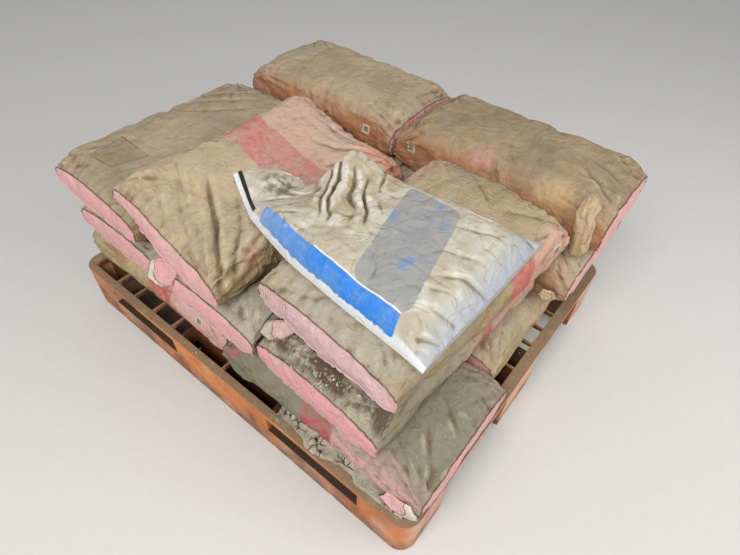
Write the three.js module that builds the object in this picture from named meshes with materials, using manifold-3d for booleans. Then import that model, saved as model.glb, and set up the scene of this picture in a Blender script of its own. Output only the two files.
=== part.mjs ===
// A moulded plastic pallet that carries fifteen filled paper sacks in three layers,
// with one smaller white bag lying on top.
//
// Frame: millimetres, +Z up. The origin is on the floor under the pallet's centre.
// +Y runs along the pallet's long side and +X along its short side.
// "Left" is -X, "right" is +X, "near" is -Y and "far" is +Y.

import * as THREE from 'three';
import { mergeVertices } from 'three/addons/utils/BufferGeometryUtils.js';
import Module from 'manifold-3d';

const wasm = await Module();
wasm.setup();

// Pallet
const palletLength = 1219;
const palletWidth = 1016;
const palletHeight = 150;
const cornerRadius = 42;
const deckDepth = 16;
const wall = 6;
const outerRunnerWidth = 146;
const centreRunnerWidth = 168;
const cornerBlockLength = 141;
const centreBlockLength = 361;
const railHeight = 76;
const rimAcross = 22;
const rimAlong = 30.5;
const ribThickness = 4;
const ribPitchAcross = 67.5;
const firstRibAcross = 102;
const ribsAcross = 6;
const ribPitchAlong = 85;
const firstRibAlong = 209.5;
const ribsAlong = 4;

// Sacks
const touch = 0.3;
const layerHeight = 122;
const firstLayer = palletHeight + touch;
const secondLayer = firstLayer + layerHeight + touch;
const thirdLayer = secondLayer + layerHeight + touch;
const sackLength = 600;
const sackWidth = 352;

// White bag. Between the sacks that it lies on it keeps to a level that rises to the right by
// bagRise. Its underside is lower than that and is cut back by the sacks. The shares are those of
// its thickness that are left at its near end, on its flap and at its gathered corner.
const bagThickness = 70;
const bagUnderside = thirdLayer + 106;
const bagLevel = thirdLayer + 118;
const bagRise = 14;
const nearEndShare = 0.13;
const flapShare = 0.12;
const gatheredShare = 0.1;

// The top of a sack is followed only within these shares of its half length and half width.
const topAlong = 0.97;
const topAcross = 0.93;

// A sack is cut back by this much from those laid before it. It is a little under the gap
// between two layers, so a sack that lies on another isn't cut by it.
const sideGap = 0.27;

// The crown is raised only above this share of a sack's height.
const crownFrom = 0.8;

// Modelling
const overcut = 0.5;
const weldDistance = 1e-4;
const cornerSegments = 6;

const colours = {
  plastic: new THREE.Color('#c96a2c'),
  kraft: new THREE.Color('#a8987a'),
  white: new THREE.Color('#d6d1c4'),
};

function mesh(name, geometry, color, roughness) {
  const part = new THREE.Mesh(geometry, new THREE.MeshStandardMaterial({ color, roughness, metalness: 0 }));
  part.name = name;
  return part;
}

function toSolid(geometry) {
  const bare = geometry.index ? geometry.toNonIndexed() : geometry.clone();
  bare.deleteAttribute('normal');
  bare.deleteAttribute('uv');
  const merged = mergeVertices(bare, weldDistance);
  return new wasm.Manifold(new wasm.Mesh({
    numProp: 3,
    vertProperties: new Float32Array(merged.attributes.position.array),
    triVerts: new Uint32Array(merged.index.array),
  }));
}

function toGeometry(solid) {
  const data = solid.getMesh();
  const geometry = new THREE.BufferGeometry();
  geometry.setAttribute('position', new THREE.BufferAttribute(new Float32Array(data.vertProperties), 3));
  geometry.setIndex(new THREE.BufferAttribute(new Uint32Array(data.triVerts), 1));
  geometry.computeVertexNormals();
  return geometry;
}

function boxSolid(x, y, z) {
  const geometry = new THREE.BoxGeometry(x[1] - x[0], y[1] - y[0], z[1] - z[0]);
  geometry.translate((x[0] + x[1]) / 2, (y[0] + y[1]) / 2, (z[0] + z[1]) / 2);
  return toSolid(geometry);
}

function rectangle(x0, x1, y0, y1) {
  const shape = new THREE.Shape();
  shape.moveTo(x0, y0);
  shape.lineTo(x1, y0);
  shape.lineTo(x1, y1);
  shape.lineTo(x0, y1);
  shape.closePath();
  return shape;
}

function roundedOutline(width, length, radius) {
  const x = width / 2;
  const y = length / 2;
  const shape = new THREE.Shape();
  shape.moveTo(-x + radius, -y);
  shape.lineTo(x - radius, -y);
  shape.absarc(x - radius, -y + radius, radius, -Math.PI / 2, 0);
  shape.lineTo(x, y - radius);
  shape.absarc(x - radius, y - radius, radius, 0, Math.PI / 2);
  shape.lineTo(-x + radius, y);
  shape.absarc(-x + radius, y - radius, radius, Math.PI / 2, Math.PI);
  shape.lineTo(-x, -y + radius);
  shape.absarc(-x + radius, -y + radius, radius, Math.PI, 1.5 * Math.PI);
  return shape;
}

function extruded(shapes, z0, z1) {
  const settings = { depth: z1 - z0, bevelEnabled: false, curveSegments: cornerSegments };
  const geometry = new THREE.ExtrudeGeometry(shapes, settings);
  geometry.translate(0, 0, z0);
  return toSolid(geometry);
}

// Rib lines over the deck: one in the middle, then a wide bay and an even pitch to each side.
function ribLines(first, pitch, count) {
  const half = Array.from({ length: count }, (_, i) => first + i * pitch);
  return [...half.map((line) => -line).reverse(), 0, ...half];
}

// The spans between rib lines, from the rim on one side to the rim on the other.
function baysBetween(lines, end) {
  const bays = [];
  const stops = [-end - ribThickness / 2, ...lines, end + ribThickness / 2];
  for (let i = 0; i < stops.length - 1; i += 1) {
    bays.push([stops[i] + ribThickness / 2, stops[i + 1] - ribThickness / 2]);
  }
  return bays;
}

// One moulded piece: a ribbed open deck on three hollow runners. Each runner has a flat
// skid plate below, three blocks, and a low rail under each of its two fork windows. The
// deck rib over each runner is carried down through it as a web.
function palletSolid() {
  const outline = roundedOutline(palletWidth, palletLength, cornerRadius);
  const underDeck = palletHeight - deckDepth;
  const halfLength = palletLength / 2;
  const halfWidth = palletWidth / 2;
  const outerWeb = firstRibAcross + (ribsAcross - 1) * ribPitchAcross;
  const runners = [
    { across: [-halfWidth, -halfWidth + outerRunnerWidth], web: -outerWeb },
    { across: [-centreRunnerWidth / 2, centreRunnerWidth / 2], web: 0 },
    { across: [halfWidth - outerRunnerWidth, halfWidth], web: outerWeb },
  ];
  const windows = [
    [-halfLength + cornerBlockLength, -centreBlockLength / 2],
    [centreBlockLength / 2, halfLength - cornerBlockLength],
  ];
  const blocks = [
    [-halfLength, windows[0][0]],
    [windows[0][1], windows[1][0]],
    [windows[1][1], halfLength],
  ];

  const runnerSolids = runners.map(({ across }) => {
    return boxSolid(across, [-halfLength, halfLength], [0, palletHeight]);
  });
  let pallet = wasm.Manifold.union(runnerSolids).intersect(extruded(outline, 0, palletHeight));
  pallet = pallet.add(extruded(outline, underDeck, palletHeight));

  const across = baysBetween(ribLines(firstRibAcross, ribPitchAcross, ribsAcross), halfWidth - rimAcross);
  const along = baysBetween(ribLines(firstRibAlong, ribPitchAlong, ribsAlong), halfLength - rimAlong);
  const cells = across.flatMap(([x0, x1]) => along.map(([y0, y1]) => rectangle(x0, x1, y0, y1)));
  pallet = pallet.subtract(extruded(cells, underDeck - overcut, palletHeight + overcut));

  const ends = [-halfLength + cornerRadius / 2, halfLength - cornerRadius / 2];
  const railTop = railHeight - wall;
  for (const runner of runners) {
    const hollows = [
      [runner.across[0] + wall, runner.web - ribThickness / 2],
      [runner.web + ribThickness / 2, runner.across[1] - wall],
    ];
    for (const hollow of hollows) {
      pallet = pallet.subtract(boxSolid(hollow, ends, [wall, railTop]));
      for (const [y0, y1] of blocks) {
        const pocket = [Math.max(y0 + wall, ends[0]), Math.min(y1 - wall, ends[1])];
        pallet = pallet.subtract(boxSolid(hollow, pocket, [railTop - overcut, underDeck]));
      }
    }
  }
  for (const window of windows) {
    const through = [-halfWidth - overcut, halfWidth + overcut];
    pallet = pallet.subtract(boxSolid(through, window, [railHeight, underDeck]));
  }
  return pallet;
}

// Joins rows of points, each one closed, with triangles. Both ends are closed by strips between
// a row's underside, which it begins with, and its top.
function loft(rows) {
  const around = rows[0].length;
  const half = around / 2;
  const triangles = [];
  const point = (row, i) => row * around + (i % around);
  for (let row = 0; row < rows.length - 1; row += 1) {
    for (let i = 0; i < around; i += 1) {
      triangles.push(point(row, i), point(row + 1, i + 1), point(row + 1, i));
      triangles.push(point(row, i), point(row, i + 1), point(row + 1, i + 1));
    }
  }
  const last = rows.length - 1;
  for (const row of [0, last]) {
    for (const side of [1, -1]) {
      for (let k = 0; k < half / 2; k += 1) {
        const strip = [k, k + 1, half - k - 1, half - k].map((i) => point(row, around + side * i));
        const corners = (row === last) === (side === 1) ? strip : strip.reverse();
        triangles.push(corners[0], corners[1], corners[3]);
        if (corners[1] !== corners[2]) {
          triangles.push(corners[1], corners[2], corners[3]);
        }
      }
    }
  }
  return new wasm.Manifold(new wasm.Mesh({
    numProp: 3,
    vertProperties: new Float32Array(rows.flat(2)),
    triVerts: new Uint32Array(triangles),
  }));
}

// A filled sack, lofted along its length. Each profile is the right half of a section,
// from the middle of the underside to the middle of the top: the share of the half width,
// then the share of the height. The folded ends are thinner and pointed at their corners.
const middleProfile = [
  [0, 0], [0.5, 0], [0.84, 0], [0.96, 0.1], [1, 0.32],
  [1, 0.62], [0.95, 0.88], [0.8, 1], [0.4, 1], [0, 1],
];
const endProfile = [
  [0, 0.06], [0.5, 0.08], [0.8, 0.16], [0.94, 0.24], [1, 0.3],
  [1, 0.6], [0.94, 0.68], [0.8, 0.77], [0.4, 0.86], [0, 0.88],
];
const stations = [
  { along: -1, end: 1 },
  { along: -0.93, end: 0.45 },
  { along: -0.78, end: 0 },
  { along: 0, end: 0 },
  { along: 0.78, end: 0 },
  { along: 0.93, end: 0.45 },
  { along: 1, end: 1 },
];

// "crown" raises the middle of the top, "swell" thickens the sack from place to place,
// and "lift" raises it over what lies under it.
function sackSolid(sack, grow = 0) {
  const { at, size, turn = 0, base, height, crown = 0 } = sack;
  const { swell = () => 0, lift = () => 0 } = sack;
  const angle = THREE.MathUtils.degToRad(turn);
  const half = middleProfile.length - 1;
  const rows = stations.map(({ along, end }) => {
    const row = [];
    for (let i = 0; i < 2 * half; i += 1) {
      const k = i <= half ? i : 2 * half - i;
      const side = i <= half ? 1 : -1;
      const out = THREE.MathUtils.lerp(middleProfile[k][0], endProfile[k][0], end);
      const up = THREE.MathUtils.lerp(middleProfile[k][1], endProfile[k][1], end);
      const u = along * (size[0] / 2 + grow);
      const v = side * out * (size[1] / 2 + grow);
      const bulge = up > crownFrom ? crown * (1 - along * along) * (1 - out * out) : 0;
      const x = at[0] + u * Math.cos(angle) - v * Math.sin(angle);
      const y = at[1] + u * Math.sin(angle) + v * Math.cos(angle);
      const thickness = height + swell(x, y) + 2 * grow;
      row.push([x, y, base - grow + up * thickness + bulge + lift(x, y)]);
    }
    return row;
  });
  return loft(rows);
}

function largestPiece(solid) {
  const pieces = solid.decompose();
  return pieces.reduce((best, piece) => (piece.volume() > best.volume() ? piece : best));
}

// What is laid down gives way to the sacks laid before it, and keeps a small gap to each.
function laid(whole, before) {
  let solid = whole;
  for (const other of before) {
    const room = sackSolid(other, sideGap);
    if (solid.intersect(room).volume() > 0) {
      solid = solid.subtract(room);
    }
  }
  return largestPiece(solid);
}

const ramp = (value, from, to) => THREE.MathUtils.smoothstep(value, from, to);

const alongY = 90;
const size = [sackLength, sackWidth];
const bottom = { size, base: firstLayer, height: layerHeight };
const middle = { size, base: secondLayer, height: layerHeight };
const sacks = {
  bottom_sack_left_near: { ...bottom, at: [-300, -307], turn: alongY },
  bottom_sack_left_far: { ...bottom, at: [-282, 300], turn: alongY },
  bottom_sack_right_near: { ...bottom, at: [194, -384] },
  bottom_sack_right_middle: { ...bottom, at: [194, -24] },
  bottom_sack_right_far: { ...bottom, at: [194, 336] },
  middle_sack_near: { ...middle, at: [-168, -330], turn: -3 },
  middle_sack_centre: { ...middle, at: [-164, 38], turn: -1 },
  middle_sack_far: { ...middle, at: [-158, 394] },
  middle_sack_right_near: { ...middle, at: [320, -300], turn: alongY },
  middle_sack_right_far: { ...middle, at: [325, 304], turn: alongY },
  top_sack_near: {
    at: [-116, -325],
    size: [606, 404],
    turn: -5.5,
    base: thirdLayer,
    height: 116,
    crown: 8,
    swell: (x) => 26 * ramp(x, -160, 170),
  },
  top_sack_far: {
    at: [-163, 414],
    size: [606, 352],
    turn: -2,
    base: thirdLayer,
    height: 122,
    crown: 8,
  },
  top_sack_riding: {
    at: [-160, 116],
    size: [606, 380],
    turn: -4,
    base: thirdLayer,
    height: 116,
    crown: 8,
    swell: (x) => 12 * ramp(x, -200, 140),
    lift: (x, y) => 66 * ramp(y, 60, 330),
  },
  top_sack_right_near: {
    at: [372, -306],
    size: [606, 308],
    turn: alongY,
    base: thirdLayer,
    height: 140,
    crown: 12,
  },
  top_sack_right_far: {
    at: [375, 304],
    size: [570, 326],
    turn: alongY,
    base: thirdLayer,
    height: 130,
    crown: 12,
  },
};

// The white bag's outline: its left and right edges from the near end to the last straight row,
// and beyond that row its far edge. That runs from the tip of the flap, which is turned over on
// the left, past the dip beside it to the gathered corner on the right.
const bagLeftEdge = [[-384, -510], [-380, -460], [-366, -300], [-345, -140], [-303, 20]];
const bagRightEdge = [[50, -526], [10, -490], [4, -360], [-4, -250], [-10, -140]];
const edgeShares = [0, 0.1, 0.45, 0.72, 1];
const bagFarEdge = [[-232, 155], [-158, 94], [-124, 12], [-150, -48], [-118, -44], [-58, -50], [-20, -95]];
const farShares = [0, 0.22, 0.42, 0.5, 0.62, 0.85, 1];
const lastStraightRow = 0.78;
const bagRows = [0, 0.04, 0.1, 0.35, 0.56, 0.7, 0.78, 0.84, 0.9, 0.95, 1];

// Half of its section, from the middle of the underside to the middle of the top: how far across
// it is, then the share of the thickness.
const bagProfile = [
  [0, 0], [0.4, 0], [0.77, 0], [0.95, 0],
  [1, 0.1],
  [0.95, 0.48], [0.77, 0.88], [0.4, 0.99], [0, 1],
];

// The peak of the gathered corner, the dip beside the flap and the fullest part of the flap
const humps = [
  { at: [-57, -84], breadth: 60, rise: 34 },
  { at: [-177, -62], breadth: 28, rise: -18 },
  { at: [-195, 80], breadth: 60, rise: 24 },
];

function humpsAt(x, y) {
  let rise = 0;
  for (const hump of humps) {
    const away = Math.hypot(x - hump.at[0], y - hump.at[1]) / hump.breadth;
    rise += hump.rise * Math.exp(-away * away);
  }
  return rise;
}

// The point at a share of the way along a line of points that it passes at the given shares
function pointAlong(points, shares, share) {
  const next = Math.max(1, shares.findIndex((value) => value >= share));
  const t = (share - shares[next - 1]) / (shares[next] - shares[next - 1]);
  return points[next].map((value, axis) => THREE.MathUtils.lerp(points[next - 1][axis], value, t));
}

// How high the top of a sack stands over a place, or 0 beside it and on its rounded rims
function topOver(sack, x, y) {
  const { at, size, turn, base, height, crown, swell, lift = () => 0 } = sack;
  const angle = THREE.MathUtils.degToRad(turn);
  const along = ((x - at[0]) * Math.cos(angle) + (y - at[1]) * Math.sin(angle)) / (size[0] / 2);
  const across = ((y - at[1]) * Math.cos(angle) - (x - at[0]) * Math.sin(angle)) / (size[1] / 2);
  if (Math.abs(along) > topAlong || Math.abs(across) > topAcross) {
    return 0;
  }
  return base + height + swell(x, y) + lift(x, y) + crown * (1 - along * along) * (1 - across * across);
}

// Across the bag b runs from -1 at its left edge to 1 at its right one.
function bagSolid() {
  const { lerp } = THREE.MathUtils;
  const half = bagProfile.length - 1;
  const rows = bagRows.map((along) => {
    const straight = Math.min(1, along / lastStraightRow);
    const left = pointAlong(bagLeftEdge, edgeShares, straight);
    const right = pointAlong(bagRightEdge, edgeShares, straight);
    const beyond = Math.max(0, (along - lastStraightRow) / (1 - lastStraightRow));
    const nearEnd = lerp(nearEndShare, 1, ramp(along, -0.03, 0.1));
    const flap = lerp(1, flapShare, ramp(along, 0.66, 0.9));
    const gathered = lerp(1, gatheredShare, ramp(along, 0.9, 1));
    const row = [];
    for (let i = 0; i < 2 * half; i += 1) {
      const k = i <= half ? i : 2 * half - i;
      const [out, up] = bagProfile[k];
      const b = i <= half ? -out : out;
      const far = pointAlong(bagFarEdge, farShares, (b + 1) / 2);
      const straightPoint = [0, 1].map((axis) => lerp(left[axis], right[axis], (b + 1) / 2));
      const [x, y] = [0, 1].map((axis) => lerp(straightPoint[axis], far[axis], beyond));
      const thickness = bagThickness * nearEnd * lerp(gathered, flap, ramp(-b, -0.05, 0.25));
      const under = Math.max(
        bagLevel + bagRise * ramp(x, -160, 60),
        topOver(sacks.top_sack_near, x, y),
        topOver(sacks.top_sack_riding, x, y),
      );
      const z = under + up * thickness + ramp(up, 0.15, 0.8) * humpsAt(x, y);
      row.push([x, y, up > 0 ? z : bagUnderside]);
    }
    return row;
  });
  return loft(rows);
}

const group = new THREE.Group();
group.add(mesh('pallet', toGeometry(palletSolid()), colours.plastic, 0.6));
const before = [];
for (const [name, sack] of Object.entries(sacks)) {
  group.add(mesh(name, toGeometry(laid(sackSolid(sack), before)), colours.kraft, 0.9));
  before.push(sack);
}
group.add(mesh('white_bag', toGeometry(laid(bagSolid(), before)), colours.white, 0.5));

export default group;
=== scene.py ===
import functools
import math
import bpy
import bmesh
import numpy as np
from mathutils import Matrix, Vector
from mathutils.bvhtree import BVHTree


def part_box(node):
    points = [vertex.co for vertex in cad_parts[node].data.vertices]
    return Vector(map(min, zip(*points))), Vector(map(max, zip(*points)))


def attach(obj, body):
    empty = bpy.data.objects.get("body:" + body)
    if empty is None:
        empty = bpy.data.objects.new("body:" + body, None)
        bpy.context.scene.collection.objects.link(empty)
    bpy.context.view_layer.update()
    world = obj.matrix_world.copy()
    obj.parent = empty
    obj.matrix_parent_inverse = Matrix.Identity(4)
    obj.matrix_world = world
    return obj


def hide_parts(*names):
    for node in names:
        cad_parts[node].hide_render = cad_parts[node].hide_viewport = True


# A moulded orange pallet with fifteen dusty paper sacks in three layers and a white bag on top.
# Metres, +Z up, the origin on the floor under the pallet's centre. "Left" is -X and "near" is -Y.

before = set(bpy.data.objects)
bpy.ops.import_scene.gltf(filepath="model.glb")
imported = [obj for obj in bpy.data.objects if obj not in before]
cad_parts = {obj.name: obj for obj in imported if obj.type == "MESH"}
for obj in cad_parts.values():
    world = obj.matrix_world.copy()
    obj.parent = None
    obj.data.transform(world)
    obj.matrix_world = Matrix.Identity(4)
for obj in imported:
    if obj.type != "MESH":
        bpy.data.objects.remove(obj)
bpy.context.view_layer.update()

# The layers that the sacks lie in and the small gap under each, as in the part
TOUCH = 0.0003
PALLET_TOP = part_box("pallet")[1][2]
LAYER_HEIGHT = 0.122
FIRST_LAYER = PALLET_TOP + TOUCH
SECOND_LAYER = FIRST_LAYER + LAYER_HEIGHT + TOUCH
THIRD_LAYER = SECOND_LAYER + LAYER_HEIGHT + TOUCH
SACK_SIZE = (0.6, 0.352)
ALONG_Y = 90

# How finely a skin is worked out when it is filled; it is shown twice as fine
CELLS_ALONG = 60
CELLS_AROUND = 96

# How far a skin may stand out of its solid, also where it spreads on the deck, how far it stays off
# its neighbours' solids, and the longest moves that keep it so
PROUD = 0.004
FOOT_PROUD = 0.012
CLEARANCE = 0.0003
DRAWN_IN_MOST = 0.06
PUSHED_OUT_MOST = 0.008

# The camera of the photograph, as fitted to it: the picture's width and the focal length in pixels, the
# sensor in millimetres, the place in metres, and in radians the yaw from +Y towards +X, pitch and roll
PHOTO_WIDTH = 740
FOCAL_PIXELS = 518.335
SENSOR = 36
CAMERA_AT = (-0.8409, -0.7319, 1.2882)
CAMERA_YAW = 0.922527
CAMERA_PITCH = 0.819156
CAMERA_ROLL = -0.0423696


def smooth_step(value, start, end):
    """0 before start, 1 after end, and the cubic 3t^2 - 2t^3 between them."""
    t = np.clip((value - start) / (end - start), 0, 1)
    return t * t * (3 - 2 * t)


def linear(hex_colour, alpha=1.0):
    """An sRGB hex colour as linear red, green, blue and alpha."""
    text = hex_colour.lstrip("#")
    share = np.array([int(text[i:i + 2], 16) for i in (0, 2, 4)]) / 255
    line = np.where(share <= 0.04045, share / 12.92, ((share + 0.055) / 1.055) ** 2.4)
    return (*line.tolist(), alpha)


# Noise


def lattice(i, j, k, seed):
    """A fixed value from -1 to 1 for each whole-number point: the fraction of a large sine."""
    wave = np.sin(i * 127.1 + j * 311.7 + k * 74.7 + seed * 19.19) * 43758.5453
    return 2 * (wave - np.floor(wave)) - 1


def noise(points, scale, seed):
    """Values from -1 to 1 that change smoothly over about "scale" metres: the eight lattice
    values round each point, blended by a cubic along each axis. scale may differ by axis."""
    place = points / np.asarray(scale, float)
    cell = np.floor(place)
    share = place - cell
    share = share * share * (3 - 2 * share)
    total = np.zeros(points.shape[:-1])
    for di in (0, 1):
        for dj in (0, 1):
            for dk in (0, 1):
                near = np.abs(1 - np.array((di, dj, dk)) - share)
                weight = near[..., 0] * near[..., 1] * near[..., 2]
                total += weight * lattice(cell[..., 0] + di, cell[..., 1] + dj, cell[..., 2] + dk, seed)
    return total


def ridges(points, scale, seed):
    """Sharp lines of 1 with round hollows down to 0 between them: 1 less twice the size of the noise."""
    return 1 - np.clip(2 * np.abs(noise(points, scale, seed)), 0, 1)


# The form of a filled sack

# Right half of a section, from the middle of the underside to the middle of the side, and on
# to the middle of the top: the share of the half width, then the share of the height
MIDDLE_UNDERSIDE = [(0, 0), (0.5, 0), (0.84, 0), (0.96, 0.1), (1, 0.32), (1, 0.47)]
MIDDLE_TOP = [(1, 0.47), (1, 0.62), (0.95, 0.88), (0.8, 1), (0.4, 1), (0, 1)]
FOOT_UNDERSIDE = [(0, 0), (0.5, 0), (0.9, 0), (0.985, 0.05), (1, 0.3), (1, 0.47)]
END_UNDERSIDE = [(0, 0.06), (0.5, 0.08), (0.8, 0.16), (0.94, 0.24), (0.985, 0.3), (1, 0.45)]
END_TOP = [(1, 0.45), (0.985, 0.6), (0.94, 0.68), (0.8, 0.77), (0.4, 0.86), (0, 0.88)]

# Where along its half length a sack's ends begin, and from about what share of its height up it is crowned
ENDS_FROM = 0.78
CROWN_FROM = 0.8


def nowhere(x, y):
    """No lift and no swell at any place."""
    return 0 * x


class Sack:
    """Where a sack lies and how it is filled, in the part's own words: "crown" raises the middle of the
    top, "swell" thickens it from place to place, and "lift" raises it over what lies under it."""

    def __init__(self, at, base, turn=0, size=SACK_SIZE, height=LAYER_HEIGHT, crown=0.0,
                 swell=nowhere, lift=nowhere):
        self.at = at
        self.base = base
        self.turn = math.radians(turn)
        self.size = size
        self.height = height
        self.crown = crown
        self.swell = swell
        self.lift = lift

    def place(self, u, v):
        """The x and y of points u along and v across the sack."""
        x = self.at[0] + u * math.cos(self.turn) - v * math.sin(self.turn)
        y = self.at[1] + u * math.sin(self.turn) + v * math.cos(self.turn)
        return x, y

    def own(self, points):
        """Points as distances along, across and up from the middle of the sack's underside."""
        dx = points[..., 0] - self.at[0]
        dy = points[..., 1] - self.at[1]
        along = dx * math.cos(self.turn) + dy * math.sin(self.turn)
        across = -dx * math.sin(self.turn) + dy * math.cos(self.turn)
        return np.stack([along, across, points[..., 2] - self.base], axis=-1)


SACKS = {
    "bottom_sack_left_near": Sack((-0.3, -0.307), FIRST_LAYER, ALONG_Y),
    "bottom_sack_left_far": Sack((-0.282, 0.3), FIRST_LAYER, ALONG_Y),
    "bottom_sack_right_near": Sack((0.194, -0.384), FIRST_LAYER),
    "bottom_sack_right_middle": Sack((0.194, -0.024), FIRST_LAYER),
    "bottom_sack_right_far": Sack((0.194, 0.336), FIRST_LAYER),
    "middle_sack_near": Sack((-0.168, -0.33), SECOND_LAYER, -3),
    "middle_sack_centre": Sack((-0.164, 0.038), SECOND_LAYER, -1),
    "middle_sack_far": Sack((-0.158, 0.394), SECOND_LAYER),
    "middle_sack_right_near": Sack((0.32, -0.3), SECOND_LAYER, ALONG_Y),
    "middle_sack_right_far": Sack((0.325, 0.304), SECOND_LAYER, ALONG_Y),
    "top_sack_near": Sack((-0.116, -0.325), THIRD_LAYER, -5.5, (0.606, 0.404), 0.116, 0.008,
                          swell=lambda x, y: 0.026 * smooth_step(x, -0.16, 0.17)),
    "top_sack_far": Sack((-0.163, 0.414), THIRD_LAYER, -2, (0.606, 0.352), 0.122, 0.008),
    "top_sack_riding": Sack((-0.16, 0.116), THIRD_LAYER, -4, (0.606, 0.38), 0.116, 0.008,
                            swell=lambda x, y: 0.012 * smooth_step(x, -0.2, 0.14),
                            lift=lambda x, y: 0.066 * smooth_step(y, 0.06, 0.33)),
    "top_sack_right_near": Sack((0.372, -0.306), THIRD_LAYER, ALONG_Y, (0.606, 0.308), 0.14, 0.012),
    "top_sack_right_far": Sack((0.375, 0.304), THIRD_LAYER, ALONG_Y, (0.57, 0.326), 0.13, 0.012),
}


def section(quarters, half_width, height, cells):
    """A whole section at even steps of its length, from the middle of the underside round by the right,
    the top and the left. A quarter is rows of (out, up), and of a second (out, up) that goes with them."""
    even = []
    for quarter in quarters:
        quarter = np.array(quarter, float)
        steps = np.hypot(*(np.diff(quarter[:, :2], axis=0) * (half_width, height)).T)
        length = np.concatenate([[0], np.cumsum(steps)])
        at = np.linspace(0, length[-1], cells // 4 + 1)
        even.append(np.stack([np.interp(at, length, column) for column in quarter.T], 1))
    right = np.concatenate([even[0][:-1], even[1]])
    left = right[1:-1][::-1] * np.tile((-1, 1), right.shape[1] // 2)
    return np.concatenate([right, left])


def sack_grid(sack, cells_along, cells_around):
    """The skin of a sack without its ends, as rows of points round it.

    Along the sack s runs from -1 to 1, and e = ((|s| - 0.78) / 0.22)^2 past 0.78 leads the middle
    section over into the pointed end section. A point stands u = s * length / 2 along and
    v = out * width / 2 across, at base + up * (height + swell) + crown * (1 - s^2)(1 - out^2) + lift,
    where the crown fades in round up = 0.8, so that it raises the top alone.
    """
    length, width = sack.size
    underside = FOOT_UNDERSIDE if sack.base == FIRST_LAYER else MIDDLE_UNDERSIDE
    quarters = (np.hstack([underside, END_UNDERSIDE]), np.hstack([MIDDLE_TOP, END_TOP]))
    rows = section(quarters, width / 2, sack.height, cells_around)
    s = np.linspace(-1, 1, cells_along + 1)[:, None]
    e = np.clip((np.abs(s) - ENDS_FROM) / (1 - ENDS_FROM), 0, 1) ** 2
    out = rows[:, 0] * (1 - e) + rows[:, 2] * e
    up = rows[:, 1] * (1 - e) + rows[:, 3] * e
    x, y = sack.place(s * length / 2 + 0 * out, out * width / 2)
    bulge = sack.crown * (1 - s ** 2) * (1 - out ** 2) * smooth_step(up, CROWN_FROM - 0.1, CROWN_FROM + 0.1)
    z = sack.base + up * (sack.height + sack.swell(x, y)) + bulge + sack.lift(x, y)
    return np.stack([x, y, z], axis=-1)


def finer(grid):
    """A grid with a point added halfway between all neighbours, open along and closed around: each is
    9/16 of the two points beside it less 1/16 of the next two, which keeps the curve round."""
    edges = np.pad(grid, ((1, 1), (0, 0), (0, 0)), mode="reflect", reflect_type="odd")
    halfway = (9 * (edges[1:-2] + edges[2:-1]) - edges[:-3] - edges[3:]) / 16
    rows = np.zeros((2 * len(grid) - 1, *grid.shape[1:]))
    rows[::2] = grid
    rows[1::2] = halfway
    ahead = np.roll(rows, -1, axis=1)
    halfway = (9 * (rows + ahead) - np.roll(rows, 1, axis=1) - np.roll(rows, -2, axis=1)) / 16
    both = np.zeros((len(rows), 2 * rows.shape[1], 3))
    both[:, ::2] = rows
    both[:, 1::2] = halfway
    return both


def blurred(values, passes):
    """Values on a grid evened out: each pass takes a quarter of both neighbours, along and then around."""
    for _ in range(passes):
        edges = np.pad(values, ((1, 1),) + ((0, 0),) * (values.ndim - 1), mode="edge")
        values = (edges[:-2] + 2 * edges[1:-1] + edges[2:]) / 4
        values = (np.roll(values, 1, axis=1) + 2 * values + np.roll(values, -1, axis=1)) / 4
    return values


def outwards(grid):
    """The outward normals of a tube of points: the way along it crossed with the way around it."""
    along = np.gradient(grid, axis=0)
    around = np.roll(grid, -1, axis=1) - np.roll(grid, 1, axis=1)
    normal = np.cross(along, around)
    normal /= np.linalg.norm(normal, axis=-1, keepdims=True) + 1e-12
    away = grid - grid.mean(axis=1, keepdims=True)
    return normal if (normal * away).sum() > 0 else -normal


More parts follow.
